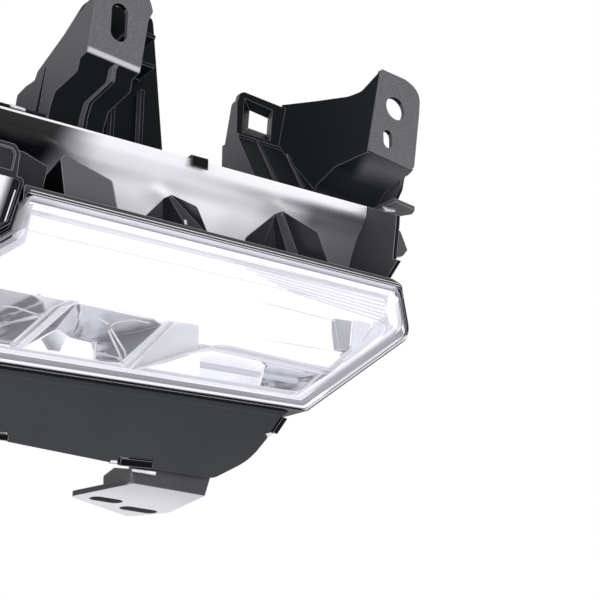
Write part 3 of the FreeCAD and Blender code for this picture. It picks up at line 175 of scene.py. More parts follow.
class Graph:
    """Short hand for one node tree."""

    def __init__(self, tree: bpy.types.NodeTree) -> None:
        """Keep the tree."""
        self.tree = tree

    def add(self, kind: str, **settings: object) -> Node:
        """Add a node.

        Args:
            kind: The node's type name.
            settings: Properties of the node.

        Returns:
            The new node.
        """
        node = self.tree.nodes.new(kind)
        for name, value in settings.items():
            setattr(node, name, value)
        return node

    def group(self, name: str, **values: float) -> Node:
        """Place a shared group.

        Args:
            name: The group's name.
            values: Values of its inputs.

        Returns:
            The group's node.
        """
        node = self.add("ShaderNodeGroup", node_tree=Groups.get(name))
        for label, value in values.items():
            node.inputs[label].default_value = value
        return node

    def link(self, source: Socket, target: Socket) -> None:
        """Join two sockets."""
        self.tree.links.new(source, target)

    def feed(self, value: object, target: Socket) -> None:
        """Give an input its value.

        Args:
            value: Socket, colour or number.
            target: The input.
        """
        if isinstance(value, Socket):
            self.link(value, target)
        else:
            target.default_value = (*value, 1.0) if isinstance(value, tuple) else value

    def math(self, operation: str, *values: object) -> Socket:
        """Add a Math node.

        Args:
            operation: Its operation.
            values: Sockets or numbers.

        Returns:
            The result's socket.
        """
        node = self.add("ShaderNodeMath", operation=operation)
        for place, value in enumerate(values):
            self.feed(value, node.inputs[place])
        return node.outputs[0]

    def between(self, value: Socket, low: float, high: float, new_low: float = 0.0,
                new_high: float = 1.0) -> Socket:
        """Carry a value from one range to another, eased and clamped.

        Args:
            value: The incoming value.
            low: Value that gives new_low.
            high: Value that gives new_high.
            new_low: First end of the new range.
            new_high: Second end of the new range.

        Returns:
            The result's socket.
        """
        node = self.add("ShaderNodeMapRange", interpolation_type="SMOOTHSTEP")
        self.link(value, node.inputs["Value"])
        ends = {"From Min": low, "From Max": high, "To Min": new_low, "To Max": new_high}
        for name, number in ends.items():
            node.inputs[name].default_value = number
        return node.outputs["Result"]

    def all_of(self, masks: Sequence[Socket]) -> Socket:
        """Multiply masks.

        Args:
            masks: The masks.

        Returns:
            Their product.
        """
        total = masks[0]
        for mask in masks[1:]:
            total = self.math("MULTIPLY", total, mask)
        return total

    def blend(self, share: Socket, first: object, second: object) -> Socket:
        """Mix two colours.

        Args:
            share: How much of the second one.
            first: Colour or socket.
            second: Colour or socket.

        Returns:
            The mixed colour's socket.
        """
        node = self.add("ShaderNodeMix", data_type="RGBA")
        self.link(share, node.inputs["Factor"])
        self.feed(first, node.inputs[6])
        self.feed(second, node.inputs[7])
        return node.outputs[2]

    def place(self) -> Socket:
        """Add the object coordinates."""
        return self.add("ShaderNodeTexCoord").outputs["Object"]

    def noise(self, place: Socket, scale: object, detail: float = 2.0) -> Socket:
        """Add a noise texture.

        Args:
            place: Where it is read.
            scale: Its scale, a number or a socket.
            detail: Its detail.

        Returns:
            The noise's socket.
        """
        node = self.add("ShaderNodeTexNoise")
        node.inputs["Detail"].default_value = detail
        self.link(place, node.inputs["Vector"])
        self.feed(scale, node.inputs["Scale"])
        return node.outputs["Fac"]

    def split(self, vector: Socket) -> list[Socket]:
        """Take a vector apart.

        Args:
            vector: The vector.

        Returns:
            Its three parts.
        """
        node = self.add("ShaderNodeSeparateXYZ")
        self.link(vector, node.inputs[0])
        return list(node.outputs)


class Groups:
    """Effects that several finishes share, each built on first use by the method of its name."""

    CELL_SIZE = 0.6
    FINE_SHARE = 0.6
    CELL_SHARE = 0.4
    BLOTCH_SCALE = 35.0
    EDGE_RANGE = (0.998, 0.95)

    made: dict[str, bpy.types.NodeTree] = {}

    @classmethod
    def get(cls, name: str) -> bpy.types.NodeTree:
        """Find a group.

        Args:
            name: The group's name.

        Returns:
            Its tree.
        """
        if name not in cls.made:
            getattr(cls, name)()
        return cls.made[name]

    @classmethod
    def start(cls, name: str, outputs: Sequence[str], **inputs: float) -> tuple[Graph, Node, Node]:
        """Begin a shader node group.

        Args:
            name: The group's name.
            outputs: Names of its outputs; Normal is a vector, the rest are values.
            inputs: Its value inputs and their values.

        Returns:
            The group's graph, its input node and its output node.
        """
        tree = bpy.data.node_groups.new(name, "ShaderNodeTree")
        for label, value in inputs.items():
            socket = tree.interface.new_socket(label, in_out="INPUT", socket_type="NodeSocketFloat")
            socket.default_value = value
        for label in outputs:
            kind = "NodeSocketVector" if label == "Normal" else "NodeSocketFloat"
            tree.interface.new_socket(label, in_out="OUTPUT", socket_type=kind)
        cls.made[name] = tree
        graph = Graph(tree)
        return graph, graph.add("NodeGroupInput"), graph.add("NodeGroupOutput")

    @classmethod
    def moulded_grain(cls) -> None:
        """Spark-eroded grain of moulded plastic: Height, and slow Blotch for tone and gloss."""
        graph, entry, result = cls.start("moulded_grain", ["Height", "Blotch"], Grain=2600.0)
        place, grain = graph.place(), entry.outputs["Grain"]
        cell = graph.add("ShaderNodeTexVoronoi")
        graph.link(place, cell.inputs["Vector"])
        graph.link(graph.math("MULTIPLY", grain, cls.CELL_SIZE), cell.inputs["Scale"])
        fine = graph.math("MULTIPLY", graph.noise(place, grain), cls.FINE_SHARE)
        height = graph.math("MULTIPLY_ADD", cell.outputs["Distance"], cls.CELL_SHARE, fine)
        graph.link(height, result.inputs["Height"])
        graph.link(graph.noise(place, cls.BLOTCH_SCALE, detail=3.0), result.inputs["Blotch"])

    @classmethod
    def lamp_place(cls) -> None:
        """Place on the lamp in lamp millimetres: Across, Depth and Up."""
        graph, _, result = cls.start("lamp_place", ["Across", "Depth", "Up"])
        for part, shift, target in zip(graph.split(graph.place()), HOLE, result.inputs):
            graph.link(graph.math("MULTIPLY_ADD", part, 1.0 / MM, shift), target)

    @classmethod
    def facing(cls) -> None:
        """Which way a face looks: Right, Rear and Upward run from -1 to 1."""
        graph, _, result = cls.start("facing", ["Right", "Rear", "Upward"])
        flat = graph.add("ShaderNodeNewGeometry").outputs["True Normal"]
        for part, target in zip(graph.split(flat), result.inputs):
            graph.link(part, target)

    @classmethod
    def moulded_edge(cls) -> None:
        """Small radius that every moulded edge has: Edge marks it for the painted edge highlight, Normal
        rounds it.
        """
        graph, entry, result = cls.start("moulded_edge", ["Edge", "Normal"], Radius=0.0005)
        bevel = graph.add("ShaderNodeBevel", samples=6)
        graph.link(entry.outputs["Radius"], bevel.inputs["Radius"])
        dot = graph.add("ShaderNodeVectorMath", operation="DOT_PRODUCT")
        graph.link(bevel.outputs["Normal"], dot.inputs[0])
        graph.link(graph.add("ShaderNodeNewGeometry").outputs["True Normal"], dot.inputs[1])
        graph.link(graph.between(dot.outputs["Value"], *cls.EDGE_RANGE), result.inputs["Edge"])
        graph.link(bevel.outputs["Normal"], result.inputs["Normal"])

    @classmethod
    def lens_inset(cls) -> None:
        """How far a place lies inside the lens's outline: Inset, and Skin under its bevelled outside."""
        graph, _, result = cls.start("lens_inset", ["Inset", "Skin"])
        across, depth, height = graph.group("lamp_place").outputs
        corners = LENS.corners()
        share = graph.math("MINIMUM", graph.math("MULTIPLY_ADD", depth, 1.0 / LENS.bevel_depth, -1.0), 0.0)
        insets, skins = [], []
        for here, after, bevel in zip(corners, corners[1:] + corners[:1], LENS.bevels):
            out = Vector((here[1] - after[1], after[0] - here[0])).normalized()
            reach = graph.math("MULTIPLY_ADD", across, -out.x, out.dot(Vector(here)))
            insets.append(graph.math("MULTIPLY_ADD", height, -out.y, reach))
            skins.append(graph.math("MULTIPLY_ADD", share, bevel, insets[-1]))
        for sides, target in ((insets, result.inputs["Inset"]), (skins, result.inputs["Skin"])):
            least = sides[0]
            for side in sides[1:]:
                least = graph.math("MINIMUM", least, side)
            graph.link(least, target)


# Painting by zones


@dataclass(frozen=True)
class Slope:
    """Distance from a leaning line: factors for Across, Depth and Up, and a constant."""

    across: float
    depth: float
    up: float
    shift: float


def above_line(spot: Point, rise: float) -> Slope:
    """Height above a line through a spot, as across and height, with its rise to the right."""
    return Slope(-rise, 0.0, 1.0, rise * spot[0] - spot[1])


def right_of(spot: Point, lean: float) -> Slope:
    """Distance to the right of a line through a spot, with its lean to the right."""
    return Slope(1.0, 0.0, -lean, lean * spot[1] - spot[0])


def sight_line(top: Point, foot: Point) -> Slope:
    """Distance to the right of a line over a fin's front, as the photograph's eye sees it.

    Args:
        top: Upper end, as across and height.
        foot: Lower end.

    Returns:
        The slope of the plane through the eye and both ends.
    """
    ends = [Vector((a, FIN_FOOT + FIN_LEAN * (b - DECK), b)) - EYE for a, b in (top, foot)]
    normal = ends[0].cross(ends[1])
    normal /= normal.x
    return Slope(*normal, -normal.dot(EYE))


@dataclass(frozen=True)
class Ramp:
    """Limit that rises from `least` at `start` to `most` at `full`."""

    source: str | Slope
    start: float
    full: float
    most: float = 1.0
    least: float = 0.0

    def mask(self, painter: "Painter") -> Socket:
        """Return the limit's mask."""
        return painter.graph.between(painter.read(self.source), self.start, self.full, self.least, self.most)


@dataclass(frozen=True)
class Span:
    """Limit that holds from `low` to `high`, with soft ends."""

    source: str | Slope
    low: float
    high: float
    soft: float = 0.1

    def mask(self, painter: "Painter") -> Socket:
        """Work out the limit.

        Args:
            painter: The finish's painter.

        Returns:
            The limit's mask.
        """
        value = painter.read(self.source)
        rise = painter.graph.between(value, self.low - self.soft, self.low + self.soft)
        fall = painter.graph.between(value, self.high + self.soft, self.high - self.soft)
        return painter.graph.math("MULTIPLY", rise, fall)


@dataclass(frozen=True)
class Share:
    """Limit that is a source's own value."""

    source: str

    def mask(self, painter: "Painter") -> Socket:
        """Return the limit's mask."""
        return painter.read(self.source)


Limits = tuple[Ramp | Span | Share, ...]


@dataclass(frozen=True)
class Zone:
    """Zone of a finish with its own tone, where all its limits hold."""

    name: str
    tone: Colour
    limits: Limits


class Painter:
    """Paints zones in one finish's graph, with each group placed once."""

    SOURCES: dict[str, tuple[tuple[str, ...], dict[str, float]]] = {
        "lamp_place": (("Across", "Depth", "Up"), {}),
        "facing": (("Right", "Rear", "Upward"), {}),
        "lens_inset": (("Inset", "Skin"), {}),
        "moulded_edge": (("Edge",), {"Radius": 0.0009}),
        "moulded_grain": (("Height",), {"Grain": 3400.0}),
    }

    def __init__(self, graph: Graph) -> None:
        """Start with no group placed."""
        self.graph = graph
        self.placed: dict[str, Node] = {}

    def read(self, source: str | Slope) -> Socket:
        """Find a value over the surface.

        Args:
            source: Name of a group's output, or a slope.

        Returns:
            The value's socket.
        """
        if isinstance(source, Slope):
            total = self.graph.math("MULTIPLY_ADD", self.read("Across"), source.across, source.shift)
            total = self.graph.math("MULTIPLY_ADD", self.read("Depth"), source.depth, total)
            return self.graph.math("MULTIPLY_ADD", self.read("Up"), source.up, total)
        for name, (outputs, values) in self.SOURCES.items():
            if source in outputs and name not in self.placed:
                self.placed[name] = self.graph.group(name, **values)
            if source in outputs:
                return self.placed[name].outputs[source]
        raise KeyError(source)

    def mask(self, limits: Limits) -> Socket:
        """Return the mask of the place where all limits hold."""
        return self.graph.all_of([limit.mask(self) for limit in limits])

    def paint(self, tone: Socket, zones: Sequence[Zone]) -> Socket:
        """Paint zones, one after another.

        Args:
            tone: What they are painted over.
            zones: The zones.

        Returns:
            The painted colour.
        """
        for zone in zones:
            tone = self.graph.blend(self.mask(zone.limits), tone, zone.tone)
            tone.node.label = zone.name
        return tone


# Finishes


@dataclass(frozen=True)
class Surface:
    """What every finish of the lamp has: a tone with slow changes, zones, grain, gloss and a painted
    highlight on its edges.
    """

    name: str
    colour: Colour = (0.5, 0.5, 0.5)
    roughness: float = 0.4
    grain: float = 2600.0
    depth: float = 0.15
    variation: float = 0.15
    specular: float = 0.15
    metallic: float = 0.0
    edge_radius: float = 0.0005
    # The edge colour and share paint a highlight along the moulded edges; plain_edges are where none is
    # painted.
    edge_highlight_colour: Colour = (0.5, 0.5, 0.52)
    edge_highlight_share: float = 0.6
    tones: tuple[Colour, ...] = ()
    zones: tuple[Zone, ...] = ()
    plain_edges: tuple[Limits, ...] = ()
    film: float = 0.0
    film_colour: Colour = (0.03, 0.03, 0.032)
    # Glow: the light of the lamp's lit parts; on finishes that are no lamp, such as the silver trim, the cups
    # and the bezel, it is a painted glow.
    glow: float = 0.0
    glow_limits: Limits = ()
    glow_zones: tuple[Zone, ...] = ()
    relief: float = 0.0002
    gloss_change: float = 0.12
    gloss_range: Point = (0.3, 0.7)

    def base(self, painter: Painter, blotch: Socket) -> Socket:
        """Return the tone under the zones, between two tones or round one.

        Args:
            painter: The finish's painter.
            blotch: Slow changes over the surface.

        Returns:
            The colour.
        """
        low = tuple(value * (1.0 - self.variation) for value in self.colour)
        high = tuple(min(1.0, value * (1.0 + self.variation)) for value in self.colour)
        return painter.graph.blend(blotch, *(self.tones or (low, high)))

    def strength(self) -> float:
        """Return how strongly the tone glows."""
        return self.glow

    def tone(self, painter: Painter, blotch: Socket, edge: Socket) -> Socket:
        """Return the finish's colour.

        Args:
            painter: The finish's painter.
            blotch: Slow changes over the surface.
            edge: Mask of the moulded edges.

        Returns:
            The colour, with its zones, its thin film and the painted highlight on its edges.
        """
        graph = painter.graph
        tone = painter.paint(self.base(painter, blotch), self.zones)
        if self.film:
            tone = graph.blend(graph.math("MULTIPLY", blotch, self.film), tone, self.film_colour)
        # Painted highlight: the edge colour goes on the moulded edges, except inside the plain_edges limits.
        share = graph.math("MULTIPLY", edge, self.edge_highlight_share)
        for limits in self.plain_edges:
            share = graph.math("MULTIPLY", share, graph.between(painter.mask(limits), 0.0, 1.0, 1.0, 0.0))
        return graph.blend(share, tone, self.edge_highlight_colour)

    def light_up(self, painter: Painter, shader: Node, tone: Socket) -> None:
        """Let the tone glow.

        Args:
            painter: The finish's painter.
            shader: Its shader.
            tone: Its colour.
        """
        if self.glow_limits:
            tone = painter.graph.blend(painter.mask(self.glow_limits), (0.0, 0.0, 0.0), tone)
        painter.graph.link(painter.paint(tone, self.glow_zones), shader.inputs["Emission Color"])
        shader.inputs["Emission Strength"].default_value = self.strength()

    def extra(self, painter: Painter, shader: Node) -> None:
        """Hook for finishes that set more of the shader."""

    def material(self) -> bpy.types.Material:
        """Build the finish.

        Returns:
            The new material.
        """
        made = bpy.data.materials.new(self.name)
        made.use_nodes = True
        graph = Graph(made.node_tree)
        painter = Painter(graph)
        shader = made.node_tree.nodes["Principled BSDF"]
        grain = graph.group("moulded_grain", Grain=self.grain)
        edge = graph.group("moulded_edge", Radius=self.edge_radius)
        tone = self.tone(painter, grain.outputs["Blotch"], edge.outputs["Edge"])
        graph.link(tone, shader.inputs["Base Color"])
        smooth, rough = self.roughness * (1.0 - self.gloss_change), self.roughness * (1.0 + self.gloss_change)
        gloss = graph.between(grain.outputs["Blotch"], *self.gloss_range, smooth, rough)
        graph.link(gloss, shader.inputs["Roughness"])
        bump = graph.add("ShaderNodeBump")
        bump.inputs["Strength"].default_value = self.depth
        bump.inputs["Distance"].default_value = self.relief
        graph.link(grain.outputs["Height"], bump.inputs["Height"])
        graph.link(edge.outputs["Normal"], bump.inputs["Normal"])
        graph.link(bump.outputs["Normal"], shader.inputs["Normal"])
        shader.inputs["Specular IOR Level"].default_value = self.specular
        shader.inputs["Metallic"].default_value = self.metallic
        if self.glow:
            self.light_up(painter, shader, tone)
        self.extra(painter, shader)
        return made


LOOKS_LEFT = Ramp("Right", -0.7, -0.78)
PLATE = (Ramp("Rear", -0.9, -0.97), Ramp("Depth", 19.5, 18.5))


@dataclass(frozen=True)
class BracketPlastic(Surface):
    """Smooth black arms, side webs, grained plates, and painted light: a sheen near the right plate, a
    highlight under its box, lighter left-facing webs and a highlight line along the left bend.
    """

    colour: Colour = (0.0042, 0.0058, 0.0066)
    variation: float = 0.0
    film: float = 0.08
    zones: tuple[Zone, ...] = (
        # Painted sheen: the black arms turn lighter towards the right plate.
        Zone("near_plate_sheen", (0.018, 0.021, 0.026), (Ramp("Across", 76.0, 112.0, 0.5),)),
        # Painted highlight on the underside of the right bracket's box.
        Zone("box_underside_highlight", (0.11, 0.11, 0.12),
             (Ramp("Across", 96.0, 104.0), Span("Up", 91.0, 98.0, 4.0), Ramp("Upward", -0.1, -0.3))),
        # Painted light: faces that look left are lighter, and lighter still towards the top.
        Zone("web", (0.09, 0.09, 0.1), (LOOKS_LEFT,)),
        Zone("web_top_light", (0.132, 0.132, 0.145), (LOOKS_LEFT, Ramp("Up", 74.0, 112.0))),
        Zone("plate", (0.105, 0.105, 0.114), PLATE),
        Zone("plate_fleck", (0.182, 0.182, 0.1976), (*PLATE, Ramp("Height", 0.3, 0.65))),
        # Painted highlight along the rounded bend under the left plate.
        Zone("left_bend_highlight", (0.62, 0.62, 0.64),
             (Span(above_line((-42.9, 102.1), -0.0736), -1.2, 0.9, 0.6), Ramp("Depth", 21.0, 20.0),
              Ramp("Across", -18.0, -19.0), Ramp("Right", -0.6, -0.5))),
    )


ABOVE_DECK = Ramp("Up", 31.9, 32.3)
LOOKS_FRONT = Ramp("Rear", -0.85, -0.93)
IN_FIN = Ramp("Depth", 18.0, 17.0)
# Painted highlight: a pale strip along the lens rim at its lower right, on the housing and the seal.
PALE_STRIP = Zone("pale_strip_highlight", (0.75, 0.75, 0.79),
                  (Span("Inset", -0.9, 0.4), Ramp("Depth", 6.0, 5.0), Ramp("Across", 50.0, 54.0),
                   Ramp("Up", 12.0, 8.0)))


@dataclass(frozen=True)
class FinLook:
    """Painted light on a fin's front: a leaning lit band with two highlight lines and a painted highlight,
    drawn as the photograph's eye sees them.

    The reach gives both ends across and how soft they are.
    """

    name: str
    reach: Place
    left_line: tuple[Point, Point]
    right_line: tuple[Point, Point]
    line: Point
    lit_band_tone: Colour
    highlight_tone: Colour
    highlight_across: Point
    highlight_up: Point
    highlight_line_tone: Colour = (0.1, 0.1, 0.108)

    def area(self) -> Limits:
        """Return the limits of the fin's front."""
        return (ABOVE_DECK, Span("Across", *self.reach), Ramp("Depth", 16.0, 15.0), Ramp("Rear", -0.4, -0.6))

    def zones(self) -> list[Zone]:
        """Draw the fin's front.

        Returns:
            The painted highlight, the lit band and its two highlight lines.
        """
        sides = [sight_line(*self.left_line), sight_line(*self.right_line)]
        # Painted highlight on the fin's front, to the right of its right line.
        gloss = (Ramp(sides[1], *self.highlight_across), Ramp("Up", *self.highlight_up))
        band = (Ramp(sides[0], -0.2, 0.1), Ramp(sides[1], 0.2, -0.1))
        made = [Zone(self.name + "_highlight", self.highlight_tone, (*self.area(), *gloss)),
                Zone(self.name + "_band", self.lit_band_tone, (*self.area(), *band))]
        for label, side in zip(("_left_line", "_right_line"), sides):
            made.append(Zone(self.name + label, self.highlight_line_tone, (*self.area(), Span(side, *self.line, 0.15))))
        return made


MIDDLE_FIN = FinLook(
    "middle_fin", reach=(-16.0, 14.0, 0.1), left_line=((-10.32, 45.7), (-5.85, 37.5)),
    right_line=((-8.4, 45.8), (-1.27, 39.0)), line=(-0.3, 0.3), lit_band_tone=(0.045, 0.045, 0.05),
    highlight_tone=(0.06, 0.06, 0.067), highlight_across=(1.0, 6.0), highlight_up=(38.0, 43.0),
)
RIGHT_FIN = FinLook(
    "right_fin", reach=(36.5, 69.5, 0.5), left_line=((41.27, 51.5), (43.79, 34.8)),
    right_line=((44.99, 53.3), (48.92, 36.0)), line=(-0.2, 0.25), lit_band_tone=(0.052, 0.052, 0.058),
    highlight_tone=(0.028, 0.028, 0.032), highlight_across=(2.0, 9.0), highlight_up=(36.0, 41.0),
)


@dataclass(frozen=True)
class HousingPlastic(Surface):
    """Gloss black body with painted light: greys where light catches the fins, brow, cap, wing and left wall,
    and painted highlights on fin edges and by the lens rim.
    """

    tones: tuple[Colour, ...] = ((0.0042, 0.0056, 0.0066), (0.0075, 0.0092, 0.0105))
    zones: tuple[Zone, ...] = (
        # Painted light: the left fin's front is a grey where light catches it.
        Zone("left_fin_front_lit", (0.12, 0.12, 0.13),
             (Span("Across", -56.0, -32.0), ABOVE_DECK, LOOKS_FRONT, Ramp("Depth", 13.0, 12.0))),
        *MIDDLE_FIN.zones(),
        Zone("middle_fin_slot", (0.8, 0.8, 0.83),
             (*MIDDLE_FIN.area(), Span("Up", 34.6, 36.6, 0.2), Span("Across", -4.4, -3.3, 0.2))),
        *RIGHT_FIN.zones(),
        # Painted highlight line along the right fin's fold.
        Zone("right_fin_fold_highlight", (0.075, 0.075, 0.08),
             (Span(sight_line((40.67, 50.5), (32.75, 35.6)), -0.15, 0.15, 0.15), ABOVE_DECK,
              Span("Across", 33.0, 44.0), IN_FIN)),
        # Painted highlight on the left fin's moulded edges.
        Zone("left_fin_rim_highlight", (0.6, 0.6, 0.63),
             (Share("Edge"), ABOVE_DECK, Ramp("Depth", 14.0, 13.0), Span("Across", -48.0, -28.0),
              Ramp("Right", -0.8, -0.6))),
        # Painted light: the cap, wing, brow and left wall are greys where light catches them.
        Zone("cap", (0.08, 0.081, 0.09),
             (Ramp("Right", -0.9, -0.96), Ramp("Across", 98.5, 99.5), ABOVE_DECK)),
        Zone("wing", (0.09, 0.09, 0.095), (Ramp("Across", 102.0, 103.0), Ramp("Up", 40.0, 42.0))),
        Zone("brow", (0.055, 0.055, 0.06),
             (Ramp("Rear", -0.9, -0.96), Span("Up", 29.3, 31.9), Ramp("Depth", 2.0, 1.5))),
        Zone("left_wall", (0.032, 0.032, 0.035),
             (Ramp("Across", -57.0, -58.0), Span("Up", 32.5, 50.0), LOOKS_FRONT)),
        PALE_STRIP,
    )
    # Fin fronts where the moulded edges get no painted highlight.
    plain_edges: tuple[Limits, ...] = (
        (Span("Across", 39.0, 46.0, 0.5), Span("Up", 33.0, 50.5, 0.3), IN_FIN),
        (Span("Across", -14.0, -5.0, 0.5), Span("Up", 33.0, 45.0, 0.3), IN_FIN),
    )


LIP_UP = 70.0
LIP_RISE = 0.023
FADE_LEAN = 0.35
BELOW_LIP = above_line((0.0, LIP_UP), LIP_RISE)
LEFT_FADE = Slope(1.0 + FADE_LEAN * LIP_RISE, 0.0, -FADE_LEAN, FADE_LEAN * LIP_UP)


@dataclass(frozen=True)
class SilverTrim(Surface):
    """Satin silver lacquer, black at the panel's left end, with painted light: a highlight on the lip, shade
    in the crease and by the right end, and a painted glow for light from the lens below.
    """

    tones: tuple[Colour, ...] = ((0.9, 0.9, 0.95), (0.96, 0.96, 1.0))
    zones: tuple[Zone, ...] = (
        # Painted shade in the crease under the lip, weaker to the right.
        Zone("crease", (0.24, 0.24, 0.27),
             (Span(BELOW_LIP, -8.2, -5.4, 2.0), Ramp("Across", -10.0, 92.0, 1.0, 0.08))),
        Zone("left_end", (0.006, 0.006, 0.008), (Ramp(LEFT_FADE, -29.0, -52.0),)),
        # Painted shade on the panel next to the end cap.
        Zone("right_end_shade", (0.1, 0.1, 0.11), (Ramp("Across", 56.0, 74.0), Ramp(BELOW_LIP, -2.5, -8.0, 0.92))),
        # Painted highlight: a white line along the lip.
        Zone("lip", (0.95, 0.95, 0.97), (Ramp(BELOW_LIP, -0.95, -0.7),)),
    )
    # Painted glow on the lower panel, for the light that the lens below throws on it.
    glow: float = 0.32
    glow_limits: Limits = (Ramp("Up", 68.0, 55.0), Ramp("Across", -45.0, -5.0, 1.0, 0.35))


INNER_WALL = Ramp("Skin", 0.8, 1.2)
FRONT_BEVEL = Span("Depth", 3.4, 5.3, 0.15)
AHEAD = Ramp("Depth", 5.4, 5.0)
UPPER_RIM = (Ramp("Up", 23.0, 25.0), Ramp("Depth", 5.2, 4.8))


@dataclass(frozen=True)
class LensPlastic(Surface):
    """Clear cover: open in front, a painted lilac grey reflection on the bevelled rim below and right,
    painted highlight lines and a painted shadow on its wall.
    """

    # Painted reflection: the lilac grey of the bevelled rim.
    tones: tuple[Colour, ...] = ((0.33, 0.33, 0.37), (0.4, 0.4, 0.44))
    zones: tuple[Zone, ...] = (
        # Painted highlight along the front edge of the bevel.
        Zone("front_bevel_highlight", (0.9, 0.9, 0.95), (FRONT_BEVEL,)),
        Zone("lower_rim", (0.33, 0.33, 0.365), (Ramp("Up", -25.5, -27.0),)),
        # Painted highlight lines across the lens wall, with black lines between them.
        Zone("first_black_line", (0.03, 0.03, 0.0315), (Span("Depth", 4.9, 5.2, 0.05),)),
        Zone("first_highlight_line", (0.9, 0.9, 0.945), (Span("Depth", 5.35, 5.7, 0.05),)),
        Zone("second_black_line", (0.05, 0.05, 0.0525), (Span("Depth", 5.85, 6.1, 0.05),)),
        Zone("second_highlight_line", (0.9, 0.9, 0.945), (Span("Depth", 6.25, 6.85, 0.05),)),
        # Painted shadow on the lens wall behind the lines.
        Zone("shadowed_wall", (0.03, 0.03, 0.0315), (Span("Depth", 7.0, 12.0, 0.05),)),
        # Painted highlight: the wall lines turn white at the lower right.
        Zone("lower_right_highlight", (0.92, 0.92, 0.96),
             (Ramp("Across", 50.0, 54.0), Ramp("Up", 12.0, 8.0), Ramp("Depth", 4.6, 4.8))),
        Zone("left_shoulder", (0.95, 0.95, 1.0),
             (Ramp("Across", -60.0, -66.0), Ramp("Up", -9.0, -7.0, 0.7), AHEAD)),
        Zone("top_rim", (0.95, 0.95, 1.0), (Ramp("Up", 22.0, 24.0, 0.9), AHEAD)),
        Zone("tip_rim", (0.2, 0.2, 0.23),
             (Ramp("Across", 97.0, 99.0), Span("Up", 7.0, 16.0, 1.5), Ramp("Depth", 4.2, 3.8))),
        Zone("inner_wall", (0.95, 0.95, 1.0), (INNER_WALL,)),
        Zone("inner_line", (0.5, 0.5, 0.55), (INNER_WALL, Span("Depth", 3.4, 3.7, 0.05))),
    )
    glow: float = 0.35
    glow_limits: Limits = (INNER_WALL,)
    glow_zones: tuple[Zone, ...] = (
        Zone("lit_bevel", (2.1, 2.1, 2.2), (FRONT_BEVEL, Ramp("Up", -20.0, -24.0))),
    )
    face_alpha: float = 0.04
    rim_alpha: float = 0.94
    wall_alpha: float = 0.8
    rim_range: Point = (0.97, 0.9)

    def extra(self, painter: Painter, shader: Node) -> None:
        """Let the front face, the upper rim and the inner wall through.

        Args:
            painter: The finish's painter.
            shader: Its shader.
        """
        graph = painter.graph
        clear = graph.math("MAXIMUM", painter.mask((INNER_WALL,)), painter.mask(UPPER_RIM))
        side = graph.math("MULTIPLY_ADD", clear, self.wall_alpha - self.rim_alpha,
                          self.rim_alpha - self.face_alpha)
        rim = graph.between(graph.math("ABSOLUTE", painter.read("Rear")), *self.rim_range)
        graph.link(graph.math("MULTIPLY_ADD", rim, side, self.face_alpha), shader.inputs["Alpha"])


SIDE_EDGE = right_of((-75.0, 16.0), 0.225)


@dataclass(frozen=True)
class SideLens(Surface):
    """Side lamp's cover: pale inside, with painted shade inside a black border and a painted highlight line
    in it.
    """

    colour: Colour = (0.9, 0.9, 0.95)
    variation: float = 0.0
    zones: tuple[Zone, ...] = (
        Zone("shade", (0.1, 0.1, 0.12), (Ramp(SIDE_EDGE, -7.0, -3.6),)),
        Zone("border", (0.006, 0.006, 0.008), (Ramp(SIDE_EDGE, -3.8, -3.4),)),
        # Painted highlight line along the side cover's edge.
        Zone("white_line", (0.9, 0.9, 0.92), (Span(SIDE_EDGE, -1.9, -1.5), Span("Up", 17.0, 29.0, 0.3))),
    )


LOOKS_DOWN = Ramp("Upward", -0.75, -0.95)


@dataclass(frozen=True)
class PressedSteel(Surface):
    """Satin sheet with painted light: dark on the leaf that faces front, a pale painted reflection on its
    underside, paler further back.
    """

    colour: Colour = (0.04, 0.04, 0.044)
    variation: float = 0.0
    film: float = 0.2
    film_colour: Colour = (0.3, 0.3, 0.32)
    zones: tuple[Zone, ...] = (
        # Painted reflection: the underside is pale, and paler further back.
        Zone("underside", (0.72, 0.72, 0.77), (LOOKS_DOWN,)),
        Zone("far_underside_reflection", (0.97, 0.97, 1.0), (LOOKS_DOWN, Ramp("Depth", 20.0, 50.0))),
    )


@dataclass(frozen=True)
class LitPlastic(Surface):
    """Clear acrylic that carries light: a white glow, streaked along its length."""

    streaks: float = 0.06
    lines: float = 0.0
    line_wave: Point = (2.992, -73.0)
    streak_scale: float = 900.0
    stretch: Place = (0.02, 1.0, 1.0)
    streak_range: Point = (0.35, 0.65)
    line_range: Point = (0.9, 1.0)
    blotch_share: float = 0.02
    # Darker tone of the streaks, and of the painted shade lines along the grooves.
    shade: Colour = (0.12, 0.12, 0.15)

    def base(self, painter: Painter, blotch: Socket) -> Socket:
        """Return the tone, with fine streaks that follow the lamp's length and painted shade lines along its
        grooves.

        Args:
            painter: The finish's painter.
            blotch: Slow changes over the surface.

        Returns:
            The colour.
        """
        graph = painter.graph
        stretch = graph.add("ShaderNodeMapping")
        stretch.inputs["Scale"].default_value = self.stretch
        graph.link(graph.place(), stretch.inputs["Vector"])
        noise = graph.noise(stretch.outputs["Vector"], self.streak_scale)
        streak = graph.between(noise, *self.streak_range, 0.0, self.streaks)
        # Painted shade lines along the grooves, from a wave over the height.
        wave = graph.math("SINE", graph.math("MULTIPLY_ADD", painter.read("Up"), *self.line_wave))
        fine = graph.between(wave, *self.line_range, 0.0, self.lines)
        share = graph.math("MULTIPLY_ADD", blotch, self.blotch_share, graph.math("MAXIMUM", streak, fine))
        return graph.blend(share, self.colour, self.shade)

    def strength(self) -> float:
        """Return how strongly the tone glows, whatever its own brightness."""
        return self.glow / self.colour[2]


